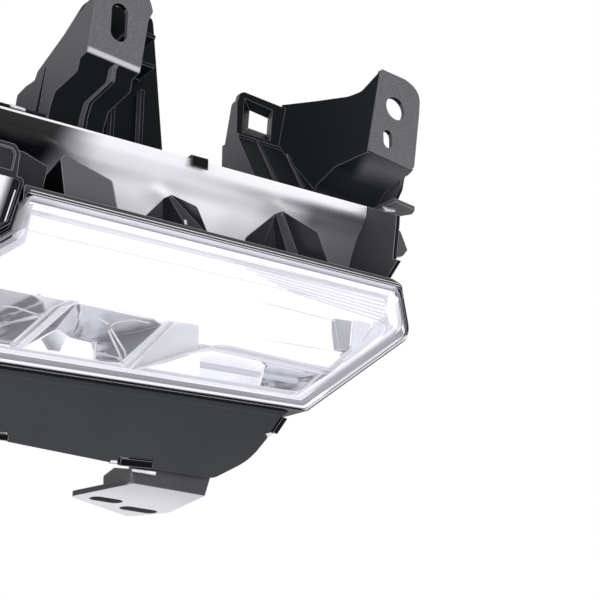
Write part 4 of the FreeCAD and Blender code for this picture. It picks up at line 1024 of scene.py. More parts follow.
@dataclass(frozen=True)
class CupMetal(Surface):
    """Metallised facets with painted reflections: each takes a light or dark tone from the way it faces, and
    a painted glow stands for the lamps behind lighting it.
    """

    colour: Colour = (0.07, 0.07, 0.085)
    light: Colour = (0.8, 0.8, 0.87)
    turn: float = 6.5
    lift: float = 5.5
    wave_range: Point = (-0.8, 1.0)
    light_range: Point = (0.05, 0.85)
    blotch_share: float = 0.12
    # Painted glow for the light of the lamps behind.
    glow: float = 0.22

    def base(self, painter: Painter, blotch: Socket) -> Socket:
        """Return painted reflection tones from dark to light, set by the way each facet faces.

        Args:
            painter: The finish's painter.
            blotch: Slow changes over the surface.

        Returns:
            The colour.
        """
        graph = painter.graph
        right, _, upward = graph.split(graph.add("ShaderNodeNewGeometry").outputs["Normal"])
        turned = graph.math("MULTIPLY_ADD", upward, self.lift, graph.math("MULTIPLY", right, self.turn))
        wave = graph.between(graph.math("SINE", turned), *self.wave_range, *self.light_range)
        share = graph.math("MULTIPLY_ADD", blotch, self.blotch_share, wave)
        return graph.blend(share, self.colour, self.light)


class Finish(Enum):
    """Named finishes of the lamp."""

    HOUSING = HousingPlastic("housing_black", roughness=0.24, depth=0.02, specular=0.06, edge_highlight_share=0.8,
                             edge_highlight_colour=(0.42, 0.42, 0.45))
    BRACKET = BracketPlastic("bracket_grain", roughness=0.4, grain=1500.0, depth=0.35, specular=0.05,
                             edge_highlight_colour=(0.36, 0.36, 0.39), edge_highlight_share=0.42)
    SHIELD = Surface("shield_satin", (0.044, 0.046, 0.052), 0.42, depth=0.06, specular=0.08, edge_highlight_share=0.06)
    TRIM = Surface("black_trim", (0.004, 0.004, 0.005), 0.2, depth=0.03, specular=0.08, edge_highlight_share=0.45)
    SEAL = Surface("seal_rubber", (0.008, 0.008, 0.008), 0.75, depth=0.3, specular=0.05, edge_highlight_share=0.05,
                   zones=(PALE_STRIP,))
    # The bezel's glow is a painted glow for the lamps' light falling on it.
    BEZEL = LitPlastic("bezel_white", (0.52, 0.52, 0.56), 0.3, depth=0.03, glow=0.15, streaks=0.05,
                       edge_highlight_colour=(0.95, 0.95, 1.0))
    REFLECT_WHITE = Surface("reflector_white", (0.8, 0.8, 0.83), 0.45, depth=0.05, variation=0.03)
    CUP = CupMetal("reflector_silver", roughness=0.2, depth=0.01, metallic=0.4, specular=0.4,
                   edge_highlight_colour=(0.95, 0.95, 1.0), edge_radius=0.0003)
    BOARD = Surface("circuit_board", (0.7, 0.72, 0.7), 0.5, depth=0.1, variation=0.05)
    LED = Surface("led_package", (0.8, 0.72, 0.3), 0.35, grain=4000.0, depth=0.2, variation=0.1)
    CASTING = Surface("cast_aluminium", (0.5, 0.51, 0.53), 0.45, grain=1500.0, depth=0.45, metallic=0.9)
    SCREW = Surface("screw_zinc", (0.5, 0.5, 0.53), 0.32, grain=3000.0, depth=0.15, metallic=1.0)
    UNIT = Surface("unit_plastic", (0.018, 0.018, 0.02), 0.5, depth=0.3, edge_highlight_share=0.25)
    PIN = Surface("pin_brass", (0.72, 0.55, 0.26), 0.28, depth=0.05, metallic=1.0)
    SPRING = Surface("spring_steel", (0.8, 0.8, 0.83), 0.25, depth=0.05, metallic=0.6, specular=0.5)
    SHEET = PressedSteel("bracket_steel", roughness=0.38, grain=3200.0, depth=0.08, metallic=0.3,
                         edge_highlight_colour=(0.5, 0.5, 0.55), edge_highlight_share=0.4)
    SILVER = SilverTrim("silver_trim", roughness=0.3, grain=5200.0, depth=0.02, metallic=0.3, specular=0.4,
                        edge_radius=0.0001, edge_highlight_share=0.0)
    LENS = LensPlastic("clear_lens", roughness=0.08, depth=0.01, specular=0.3, edge_highlight_share=0.0)
    FROST = SideLens("frosted_side_lens", roughness=0.18, depth=0.02, specular=0.1, edge_highlight_share=0.3)
    GUIDE_RIBBED = LitPlastic("ribbed_guide", (0.34, 0.34, 0.36), 0.15, depth=0.02, glow=0.72, streaks=0.03,
                              lines=0.18, edge_highlight_share=0.0)
    GUIDE = LitPlastic("plain_guide", (0.34, 0.34, 0.36), 0.15, depth=0.02, glow=0.78, streaks=0.03,
                       edge_highlight_share=0.0)
    STRIP = LitPlastic("clear_strip", (0.46, 0.46, 0.51), 0.12, depth=0.02, glow=0.14, streaks=0.12,
                       edge_radius=0.00015, edge_highlight_colour=(1.0, 1.0, 1.0), edge_highlight_share=0.9)
    RIB = Surface("rib_shade", (0.78, 0.78, 0.83), 0.2, depth=0.02, edge_highlight_share=0.0)
    BLOCK = Surface("guide_end", (0.36, 0.36, 0.4), 0.2, depth=0.02, variation=0.4, edge_radius=0.0003,
                    edge_highlight_colour=(0.9, 0.9, 0.95))
    # The lit reflector's glow is a painted glow for the lamps' light falling on it.
    GLOW = LitPlastic("lit_reflector", (0.55, 0.55, 0.58), 0.3, depth=0.03, glow=0.45, streaks=0.08,
                      edge_radius=0.0003, edge_highlight_colour=(0.95, 0.95, 1.0))
    # Painted reflection of the lens bevel, with a painted glow.
    CONTOUR = LitPlastic("bevel_reflection_band", (0.5, 0.5, 0.55), 0.3, depth=0.03, glow=0.28, streaks=0.04,
                         edge_radius=0.0002, edge_highlight_colour=(0.9, 0.9, 0.95), edge_highlight_share=0.5)
    # White strips and beads that stand for painted highlights.
    LINE = Surface("highlight_line", (0.9, 0.9, 0.93), 0.2, depth=0.02, specular=0.5, variation=0.03)

    def get(self) -> bpy.types.Material:
        """Find the material, built on first use.

        Returns:
            The material.
        """
        label = self.value.name + "_finish"
        found = bpy.data.materials.get(label)
        if found is None:
            found = self.value.material()
            found.name = label
        return found


class Dresser:
    """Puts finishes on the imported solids."""

    NODES: dict[Finish, tuple[str, ...]] = {
        Finish.HOUSING: ("housing",),
        Finish.BRACKET: ("left_bracket", "right_bracket"),
        Finish.SHIELD: ("lower_shield",),
        Finish.TRIM: ("panel_clip", "side_frame", "shield_clips"),
        Finish.SEAL: ("lens_seal", "heat_sink_gasket", "vent_cap"),
        Finish.BEZEL: ("bezel",),
        Finish.REFLECT_WHITE: ("guide_reflector", "side_reflector"),
        Finish.CUP: ("left_reflector", "middle_reflector", "right_reflector"),
        Finish.BOARD: ("upper_led_board", "lower_led_board", "side_led_board"),
        Finish.LED: ("upper_leds", "lower_leds", "side_led"),
        Finish.CASTING: ("heat_sink",),
        Finish.SCREW: ("heat_sink_screws", "control_unit_screws", "bracket_screws", "lower_bracket_screws"),
        Finish.UNIT: ("control_unit", "connector_socket"),
        Finish.PIN: ("connector_pins",),
        Finish.SHEET: ("lower_bracket",),
        Finish.SILVER: ("top_panel",),
        Finish.LENS: ("outer_lens",),
        Finish.FROST: ("side_lens",),
        Finish.GUIDE_RIBBED: ("upper_light_guide",),
        Finish.GUIDE: ("main_light_guide", "lower_light_guide", "lower_light_blade"),
        Finish.STRIP: ("guide_end_block", "cell_light_tube"),
    }

    def dress(self) -> None:
        """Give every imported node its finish."""
        for finish, names in self.NODES.items():
            for name in names:
                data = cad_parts[name].data
                data.materials.clear()
                data.materials.append(finish.get())
                LOG.info("finish %s on %s", finish.name, name)


# Modelling steps


@dataclass(frozen=True)
class Plate:
    """Outline, as across and height, that runs from a front depth to a rear one."""

    name: str
    front: float
    rear: float
    outline: tuple[Point, ...]


class Bench:
    """Modelling steps that every new piece uses."""

    SOFT_ANGLE = math.radians(28.0)
    FRONT_NORMAL = -0.9

    @staticmethod
    def start(name: str) -> Piece:
        """Name the primitive that was just added.

        Args:
            name: The piece's name.

        Returns:
            The piece.
        """
        piece = bpy.context.object
        piece.name = name
        piece.data.name = name
        return piece

    @staticmethod
    def activate(*pieces: Piece) -> None:
        """Select pieces alone, with the first one active.

        Args:
            pieces: The pieces; none only clears the selection.
        """
        bpy.ops.object.select_all(action="DESELECT")
        for piece in pieces:
            piece.select_set(True)
        if pieces:
            bpy.context.view_layer.objects.active = pieces[0]

    @staticmethod
    def edit(work: Callable[[], None], select: str = "SELECT") -> None:
        """Run work in edit mode.

        Args:
            work: What to do there.
            select: What is selected first.
        """
        bpy.ops.object.mode_set(mode="EDIT")
        bpy.ops.mesh.select_all(action=select)
        work()
        bpy.ops.object.mode_set(mode="OBJECT")

    @staticmethod
    def ring(name: str, spots: Sequence[Vector], closed: bool = True) -> Piece:
        """Start from a circle with one vertex for each spot.

        Args:
            name: The piece's name.
            spots: Where its vertices go.
            closed: Whether the last vertex joins the first.

        Returns:
            The new piece.
        """
        if len(spots) == 2:
            spots = [spots[0], (spots[0] + spots[1]) / 2.0, spots[1]]
        Bench.activate()
        bpy.ops.mesh.primitive_circle_add(vertices=len(spots), radius=MM, fill_type="NOTHING")
        piece = Bench.start(name)
        for vertex, spot in zip(piece.data.vertices, spots):
            vertex.co = spot
        if not closed:
            Bench.open_ring(piece)
        return piece

    @staticmethod
    def open_ring(piece: Piece) -> None:
        """Take the edge between the last and the first vertex away.

        Args:
            piece: The piece.
        """
        last = len(piece.data.vertices) - 1

        def work() -> None:
            """Delete that edge."""
            mesh = bmesh.from_edit_mesh(piece.data)
            bpy.ops.mesh.select_mode(type="EDGE")
            for edge in mesh.edges:
                edge.select = {vertex.index for vertex in edge.verts} == {0, last}
            bmesh.update_edit_mesh(piece.data)
            bpy.ops.mesh.delete(type="EDGE")
            bpy.ops.mesh.select_mode(type="VERT")

        Bench.edit(work, "DESELECT")

    @staticmethod
    def sweep(plate: Plate, closed: bool, filled: bool) -> Piece:
        """Extrude a plate's outline from front to rear.

        Args:
            plate: The outline and its depths.
            closed: Whether the outline runs all round.
            filled: Whether its front is filled first.

        Returns:
            The new piece.
        """
        piece = Bench.ring(plate.name, [at(across, plate.front, up) for across, up in plate.outline], closed)

        def work() -> None:
            """Fill the front and pull it rearward."""
            if filled:
                bpy.ops.mesh.edge_face_add()
            rearward = (0.0, (plate.rear - plate.front) * MM, 0.0)
            bpy.ops.mesh.extrude_region_move(TRANSFORM_OT_translate={"value": rearward})
            bpy.ops.mesh.select_all(action="SELECT")
            bpy.ops.mesh.normals_make_consistent(inside=False)

        Bench.edit(work)
        return piece

    @staticmethod
    def prism(plate: Plate, edge: float = 0.0, segments: int = 3) -> Piece:
        """Build a solid plate.

        Args:
            plate: The outline and its depths.
            edge: Width of its rounded edges, or 0 for sharp ones.
            segments: Steps over each rounded edge.

        Returns:
            The new piece.
        """
        piece = Bench.sweep(plate, True, True)
        if edge:
            Bench.soften(piece, edge, segments)
        return piece

    @staticmethod
    def band(plate: Plate, wall: float, closed: bool = False) -> Piece:
        """Build a strip that stands on a line.

        Args:
            plate: The line and its depths.
            wall: The strip's thickness.
            closed: Whether it runs all round.

        Returns:
            The new piece.
        """
        piece = Bench.sweep(plate, closed, False)
        Bench.modify(piece, "SOLIDIFY", thickness=wall * MM, offset=0.0, use_even_offset=True)
        return piece

    @staticmethod
    def inset_front(piece: Piece, *steps: Point, peak: float = 0.0) -> None:
        """Inset the faces that look to the front.

        Args:
            piece: The piece.
            steps: Thickness and depth of each inset.
            peak: Height of the peak that the inset face gets.
        """

        def work() -> None:
            """Select those faces and inset them."""
            mesh = bmesh.from_edit_mesh(piece.data)
            for face in mesh.faces:
                face.select = face.normal.y < Bench.FRONT_NORMAL
            bmesh.update_edit_mesh(piece.data)
            for thickness, depth in steps:
                bpy.ops.mesh.inset(thickness=thickness * MM, depth=depth * MM)
            if peak:
                bpy.ops.mesh.poke(offset=peak * MM)

        Bench.edit(work, "DESELECT")

    @staticmethod
    def modify(piece: Piece, kind: str, **settings: object) -> None:
        """Add a modifier and apply it.

        Args:
            piece: The piece.
            kind: The modifier's type.
            settings: Its settings.
        """
        Bench.activate(piece)
        modifier = piece.modifiers.new(kind.lower(), kind)
        for name, value in settings.items():
            setattr(modifier, name, value)
        bpy.ops.object.modifier_apply(modifier=modifier.name)

    @staticmethod
    def soften(piece: Piece, width: float, segments: int = 2) -> None:
        """Round the piece's edges."""
        Bench.modify(piece, "BEVEL", width=width * MM, segments=segments, limit_method="ANGLE",
                     angle_limit=Bench.SOFT_ANGLE)

    @staticmethod
    def copy(piece: Piece, name: str, move: Vector) -> Piece:
        """Copy a piece with its own mesh, moved.

        Args:
            piece: The model piece.
            name: The copy's name.
            move: How far, in metres.

        Returns:
            The copy.
        """
        twin = piece.copy()
        twin.data = piece.data.copy()
        twin.name = name
        bpy.context.collection.objects.link(twin)
        for vertex in twin.data.vertices:
            vertex.co += move
        return twin

    @staticmethod
    def join(pieces: Sequence[Piece], name: str) -> Piece:
        """Join pieces into one object.

        Args:
            pieces: The pieces.
            name: Name of the result.

        Returns:
            The joined piece.
        """
        Bench.activate(*pieces)
        bpy.ops.object.join()
        return Bench.start(name)

    @staticmethod
    def deliver(piece: Piece, finish: Finish, slot: str, *nodes: str, sharp: float = 30.0) -> None:
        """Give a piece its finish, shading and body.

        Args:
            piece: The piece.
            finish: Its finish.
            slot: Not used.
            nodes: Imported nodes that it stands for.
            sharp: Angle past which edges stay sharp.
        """
        Bench.activate(piece)
        bpy.ops.object.shade_smooth_by_angle(angle=math.radians(sharp))
        piece.data.materials.clear()
        piece.data.materials.append(finish.get())
        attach(piece, "root")
        if nodes:
            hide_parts(*nodes)
        LOG.info("piece %s with %s", piece.name, finish.name)


# Pieces inside the lens


@dataclass(frozen=True)
class CellCup:
    """Metallised cup of one cell: the cell's outline in front, turning into a round throat behind."""

    name: str
    nodes: tuple[str, ...]
    outline: tuple[Point, ...]
    throat: Point
    throat_radius: Point
    petals: int = 6
    twist: float = 70.0
    swell: float = 0.22
    swell_reach: float = 0.35
    spiral: float = 0.35
    narrowing: float = 0.75
    front: float = 7.0
    rear: float = 39.6
    spots: int = 60
    rings: int = 9
    wall: float = 0.6
    least_cross: float = 1e-9
    slack: float = 1e-6
    finish: Finish = Finish.CUP

    def edge_spot(self, angle: float) -> Vector:
        """Find where a ray from the middle of the outline meets it.

        Args:
            angle: The ray's angle.

        Returns:
            The nearest spot.
        """
        middle = sum((Vector(point) for point in self.outline), Vector((0.0, 0.0))) / len(self.outline)
        way = Vector((math.cos(angle), math.sin(angle)))
        reaches = []
        for here, after in zip(self.outline, self.outline[1:] + self.outline[:1]):
            side = Vector(after) - Vector(here)
            gap = Vector(here) - middle
            det = cross(way, side)
            if abs(det) < self.least_cross:
                continue
            reach = cross(gap, side) / det
            share = cross(gap, way) / det
            if reach > 0.0 and -self.slack <= share <= 1.0 + self.slack:
                reaches.append(reach)
        return middle + way * min(reaches)

    def ring_at(self, share: float) -> list[Vector]:
        """Work out one ring of the cup.

        Args:
            share: How deep it lies, from 0 in front to 1 at the throat.

        Returns:
            The ring's spots.
        """
        result = []
        turn = math.radians(self.twist) * share
        for index in range(self.spots):
            angle = math.tau * index / self.spots
            outer = self.edge_spot(angle)
            inner = Vector(self.throat)
            inner.x += math.cos(angle + turn) * self.throat_radius[0]
            inner.y += math.sin(angle + turn) * self.throat_radius[1]
            saw = (self.petals * (angle / math.tau + share * self.spiral)) % 1.0
            swell = self.swell * 4.0 * share * (1.0 - share) * (abs(saw * 2.0 - 1.0) - 0.5)
            spot = outer.lerp(inner, min(1.0, share ** self.narrowing))
            spot += (outer - inner) * swell * self.swell_reach
            result.append(at(spot.x, self.front + (self.rear - self.front) * share, spot.y))
        return result

    def build(self) -> None:
        """Extrude the ring back step by step, and give the shell its wall."""
        piece = Bench.ring(self.name, self.ring_at(0.0))
        for step in range(1, self.rings + 1):
            Bench.edit(lambda: self.extrude_last(piece, (step - 1) * self.spots))
            for vertex, spot in zip(piece.data.vertices[step * self.spots:], self.ring_at(step / self.rings)):
                vertex.co = spot
        Bench.edit(lambda: bpy.ops.mesh.normals_make_consistent(inside=True))
        Bench.modify(piece, "SOLIDIFY", thickness=self.wall * MM, offset=-1.0)
        Bench.deliver(piece, self.finish, "reflector_silver", *self.nodes, sharp=50.0)

    def extrude_last(self, piece: Piece, first: int) -> None:
        """Extrude the rearmost ring.

        Args:
            piece: The cup.
            first: The ring's first vertex.
        """
        mesh = bmesh.from_edit_mesh(piece.data)
        for vertex in mesh.verts:
            vertex.select = vertex.index >= first
        mesh.select_flush(True)
        for edge in mesh.edges:
            edge.select = all(vertex.index >= first for vertex in edge.verts)
        bmesh.update_edit_mesh(piece.data)
        bpy.ops.mesh.extrude_edges_move(TRANSFORM_OT_translate={"value": (0.0, MM, 0.0)})


CUPS = (
    CellCup("left_cup", ("left_reflector",),
            ((-90.5, -4.2), (-62.0, -4.4), (-58.6, -6.2), (-57.0, -10.8), (-68.6, -22.4), (-90.5, -22.6)),
            (-72.0, -13.0), (4.6, 3.6), petals=5),
    CellCup("middle_cup", ("middle_reflector",),
            ((-45.6, -4.2), (-10.4, -5.0), (-27.2, -22.2), (-37.6, -23.0), (-38.9, -16.8), (-48.8, -16.3),
             (-52.8, -14.8)),
            (-30.0, -12.0), (3.4, 2.6), petals=7, twist=90.0),
    CellCup("right_cup", ("right_reflector",),
            ((5.0, -14.2), (10.4, -12.8), (34.4, -13.6), (31.2, -25.0), (4.8, -25.6)),
            (18.0, -18.5), (10.0, 2.2), petals=4, twist=10.0, swell=0.1, finish=Finish.GLOW),
    CellCup("corner_cup", (),
            ((34.6, -13.8), (60.2, -14.6), (47.0, -25.0), (31.6, -24.8)),
            (42.0, -19.0), (1.8, 1.6), petals=6, twist=120.0, rear=22.0),
)


@dataclass(frozen=True)
class InnerFrame:
    """White frame behind the lens: outer rim, slanted bars, the plates between the cells and their floors."""

    front: float = 5.4
    rear: float = 12.0
    rim_middle: float = -4.2
    rim_wall: float = 2.4
    rim_edge: float = 0.4
    plate_edge: float = 0.5
    floor_edge: float = 0.2
    facet_inset: Point = (1.1, 0.8)
    facet_peak: float = 0.4
    plates: tuple[Plate, ...] = (
        Plate("corner_plate", 5.4, 12.0, ((60.8, -14.0), (68.6, -12.4), (51.6, -26.6), (46.8, -26.0))),
        Plate("ledge_plate", 5.4, 12.0,
              ((4.0, -10.8), (71.0, -10.8), (68.6, -12.8), (60.6, -14.2), (10.3, -12.4), (4.0, -13.8))),
        Plate("middle_plate", 6.2, 12.0,
              ((-7.6, -4.6), (3.8, -2.6), (3.8, -13.4), (-25.6, -26.2), (-26.6, -26.2))),
        Plate("left_bar", 4.8, 14.0, ((-50.1, -4.2), (-46.4, -4.0), (-64.6, -23.8), (-67.6, -23.8))),
        Plate("middle_bar", 4.8, 14.0, ((-10.6, -4.6), (-7.4, -4.6), (-26.2, -26.4), (-28.4, -24.0))),
        Plate("left_plate", 6.2, 12.0,
              ((-62.0, -4.2), (-50.0, -4.2), (-67.4, -23.6), (-69.0, -22.8), (-56.6, -10.9), (-58.2, -6.0))),
    )
    floors: tuple[Plate, ...] = (
        Plate("middle_floor", 7.4, 12.0,
              ((-64.4, -23.4), (-53.0, -14.9), (-48.9, -16.5), (-39.1, -17.0), (-37.8, -23.2), (-27.2, -22.4),
               (-26.8, -24.2), (-64.0, -24.2))),
        Plate("left_floor", 7.4, 12.0, ((-90.5, -22.8), (-68.8, -22.6), (-68.0, -24.2), (-90.5, -24.2))),
        Plate("right_floor", 7.4, 12.0, ((-24.0, -25.4), (-9.4, -19.8), (4.8, -13.6), (5.4, -25.8))),
        Plate("tip_floor", 9.0, 10.5,
              ((67.2, 25.2), (101.4, 25.2), (104.2, 10.8), (68.6, -12.4), (67.2, -11.0))),
        Plate("top_floor", 5.2, 6.0, ((-67.6, 28.2), (101.8, 28.2), (102.2, 25.6), (-68.4, 25.6))),
    )
    facet_block: Plate = Plate(
        "facet_block", 6.2, 12.0,
        ((-57.8, -19.0), (-52.6, -14.8), (-49.1, -16.8), (-51.3, -22.6), (-54.9, -22.6)))

    def build(self) -> None:
        """Build the frame, the lit floors and the small faceted block."""
        rim_line = Plate("rim", self.front, self.rear, tuple(LENS.outline(self.rim_middle)))
        rim = Bench.band(rim_line, self.rim_wall, closed=True)
        Bench.soften(rim, self.rim_edge, 3)
        plates = [Bench.prism(plate, self.plate_edge) for plate in self.plates]
        Bench.deliver(Bench.join([rim] + plates, "inner_frame"), Finish.BEZEL, "bezel_white", "bezel")
        # The floors take the guide's glowing finish: a painted glow for the light that falls on them.
        floors = [Bench.prism(floor, self.floor_edge) for floor in self.floors]
        Bench.deliver(Bench.join(floors, "lit_floors"), Finish.GUIDE, "light_guide")
        block = Bench.prism(self.facet_block)
        Bench.inset_front(block, self.facet_inset, peak=self.facet_peak)
        Bench.deliver(block, Finish.CUP, "reflector_silver", sharp=12.0)


@dataclass(frozen=True)
class LensInside:
    """Strips, ribs, beads, ridges and blocks behind the clear cover."""

    bead_up: float = 17.8
    bead_depth: float = 5.95
    bead_pitch: float = 1.15
    bead_left: float = -68.0
    bead_right: float = 60.0
    bead_radius: float = 0.3
    bead_shape: Place = (1.0, 0.6, 1.2)
    fan_count: int = 9
    fan_start: Point = (4.0, 27.4)
    fan_start_step: Point = (5.0, -1.25)
    fan_end: Point = (101.0, 27.2)
    fan_end_step: Point = (-0.25, -1.75)
    fan_start_half: float = 0.05
    fan_end_half: float = 0.2
    fan_depths: Point = (4.9, 5.7)
    strip_edge: float = 0.12
    contour_edge: float = 0.35
    strip_lines: tuple[tuple[Plate, float], ...] = (
        (Plate("left_partition", 3.4, 6.4, ((-46.4, -4.6), (-53.0, -8.0), (-66.4, -22.9))), 0.7),
        (Plate("left_partition_edge", 3.6, 6.4, ((-50.1, -4.6), (-56.0, -8.4), (-68.6, -22.4))), 0.5),
        (Plate("middle_partition", 3.2, 6.4, ((-7.4, -4.8), (-26.4, -26.0))), 0.8),
        (Plate("middle_partition_edge", 3.6, 6.4, ((-10.8, -4.8), (-28.4, -23.0))), 0.4),
        (Plate("cell_ledge", 3.2, 6.2,
               ((-25.2, -26.2), (-10.0, -19.4), (4.2, -13.3), (10.0, -11.2), (16.6, -10.6), (63.9, -12.5),
                (70.6, -11.6))), 0.7),
        (Plate("guide_seam", 5.0, 6.0, ((30.0, 10.4), (68.0, 9.2))), 0.3),
        (Plate("guide_foot", 5.0, 6.0, ((30.0, -4.8), (69.0, -3.6))), 0.3),
    )
    ridge_front: float = 6.1
    ridge_rear: float = 7.2
    ridge_wall: float = 0.3
    ridges: tuple[tuple[Point, ...], ...] = (
        ((-32.7, -10.5), (-31.5, -9.2), (-29.2, -8.2), (-24.0, -6.6), (-17.1, -6.5)),
        ((-33.3, -11.9), (-31.7, -14.9), (-30.0, -17.5), (-27.1, -22.5)),
        ((-32.6, -11.1), (-29.2, -15.3), (-26.6, -18.5), (-25.6, -22.0)),
        ((-38.3, -8.2), (-35.8, -8.9), (-33.4, -9.8)),
        ((-38.0, -17.1), (-38.1, -20.7), (-37.9, -22.8)),
        ((-62.4, -3.2), (-60.2, -3.8), (-58.7, -5.2), (-57.6, -6.6), (-57.1, -8.6), (-57.0, -10.0),
         (-57.8, -11.2)),
        ((-72.8, -10.6), (-70.4, -10.1), (-67.7, -10.0), (-62.9, -10.7), (-58.2, -11.3)),
    )
    # Painted reflection: bands that stand for the lilac grey of the lens bevel at the tip.
    contours: tuple[Plate, ...] = (
        Plate("outer_contour", 3.8, 5.8,
              ((96.2, 12.4), (100.6, 12.4), (100.4, 8.0), (81.0, -8.2), (51.3, -26.9), (44.3, -25.8),
               (69.5, -11.1), (79.5, -4.7), (92.3, 4.7), (96.0, 9.6))),
        Plate("inner_contour", 4.4, 5.8,
              ((89.2, 12.4), (94.6, 12.4), (94.5, 8.5), (88.3, 3.9), (74.6, -7.6), (71.6, -6.9), (84.5, 4.6),
               (89.2, 9.8))),
        Plate("block_facet", 4.8, 5.8, ((78.2, 11.4), (88.2, 11.2), (82.1, 2.4), (76.6, -2.2))),
    )
    end_band: tuple[Point, ...] = (
        (97.6, 25.4), (102.4, 25.2), (103.0, 19.0), (102.0, 12.4), (98.4, 13.0), (99.2, 19.0))
    end_band_radii: tuple[float, ...] = (0.8, 0.8, 4.0, 0.8, 0.8, 4.0)
    end_band_depths: Point = (3.8, 5.4)
    end_band_edge: float = 0.3
    end_block: Plate = Plate("end_block", 6.0, 16.0, ((68.6, 10.4), (77.9, 11.0), (76.2, -2.2), (70.6, -2.4)))
    block_insets: tuple[Point, ...] = ((1.4, 0.5), (1.2, -0.9))
    block_edge: float = 0.15

    def beads(self) -> None:
        """Build the row of small prisms between the two upper guides."""
        Bench.activate()
        bpy.ops.mesh.primitive_uv_sphere_add(segments=6, ring_count=4, radius=self.bead_radius * MM)
        model = Bench.start("bead")
        bpy.ops.object.transform_apply(location=True, rotation=True, scale=True)
        Bench.edit(lambda: bpy.ops.transform.resize(value=self.bead_shape))
        copies = []
        for index in range(int((self.bead_right - self.bead_left) / self.bead_pitch) + 1):
            place = at(self.bead_left + self.bead_pitch * index, self.bead_depth, self.bead_up)
            copies.append(Bench.copy(model, f"bead_{index}", place))
        bpy.data.objects.remove(model)
        Bench.deliver(Bench.join(copies, "guide_beads"), Finish.RIB, "light_guide")

    def fan(self) -> None:
        """Build the tapering ribs that spread over the guides' right end."""
        ribs = []
        for index in range(self.fan_count):
            start = Vector(self.fan_start) + Vector(self.fan_start_step) * index
            end = Vector(self.fan_end) + Vector(self.fan_end_step) * index
            ends = ((start, self.fan_start_half), (end, self.fan_end_half), (end, -self.fan_end_half),
                    (start, -self.fan_start_half))
            outline = tuple((spot.x, spot.y + half) for spot, half in ends)
            ribs.append(Bench.prism(Plate(f"rib_{index}", *self.fan_depths, outline)))
        Bench.deliver(Bench.join(ribs, "fan_ribs"), Finish.RIB, "light_guide")

    def strips(self) -> None:
        """Build the clear strips: partitions of the cells, and the ledge round the right cell."""
        pieces = []
        for plate, wall in self.strip_lines:
            pieces.append(Bench.band(plate, wall))
            Bench.soften(pieces[-1], self.strip_edge)
        Bench.deliver(Bench.join(pieces, "clear_strips"), Finish.STRIP, "light_guide")

    def cup_ridges(self) -> None:
        """Build the cups' fine ridges, white as painted highlights: rims of their dishes and the folds
        between their facets.
        """
        pieces = []
        for index, spots in enumerate(self.ridges):
            plate = Plate(f"ridge_{index}", self.ridge_front, self.ridge_rear, spots)
            pieces.append(Bench.band(plate, self.ridge_wall))
        Bench.deliver(Bench.join(pieces, "cup_ridges"), Finish.LINE, "reflector_silver")

    def tip(self) -> None:
        """Build what fills the tip: contour bands painted as the lens bevel's reflection, the upright white
        band and the guide's end block.
        """
        contours = [Bench.prism(plate, self.contour_edge) for plate in self.contours]
        Bench.deliver(Bench.join(contours, "tip_contours"), Finish.CONTOUR, "light_guide")
        outline = tuple(rounded(self.end_band, self.end_band_radii))
        band = Bench.prism(Plate("end_band", *self.end_band_depths, outline), self.end_band_edge, 2)
        Bench.deliver(band, Finish.GUIDE, "light_guide")
        block = Bench.prism(self.end_block)
        Bench.inset_front(block, *self.block_insets)
        Bench.soften(block, self.block_edge, 1)
        Bench.deliver(block, Finish.BLOCK, "light_guide", "guide_end_block", sharp=15.0)

    def build(self) -> None:
        """Build everything inside the lens."""
        InnerFrame().build()
        for cup in CUPS:
            cup.build()
        self.beads()
        self.fan()
        self.strips()
        self.cup_ridges()
        self.tip()


# Pieces on the body


@dataclass(frozen=True)
class BrowLines:
    """Fine beads along the brow over the lens, white as painted highlights."""

    left: float = -68.6
    right: float = 100.8
    heights: Point = (30.15, 29.1)
    wide: float = 0.34
    front: float = 0.25
    rear: float = 0.62
    edge: float = 0.1

    def build(self) -> None:
        """Build the beads."""
        beads = []
        for height in self.heights:
            top, foot = height + self.wide / 2.0, height - self.wide / 2.0
            outline = ((self.left, top), (self.right, top), (self.right, foot), (self.left, foot))
            plate = Plate(f"brow_bead_{height}", self.front, self.rear, outline)
            beads.append(Bench.prism(plate, self.edge, 2))
        Bench.deliver(Bench.join(beads, "brow_lines"), Finish.LINE, "silver_trim")


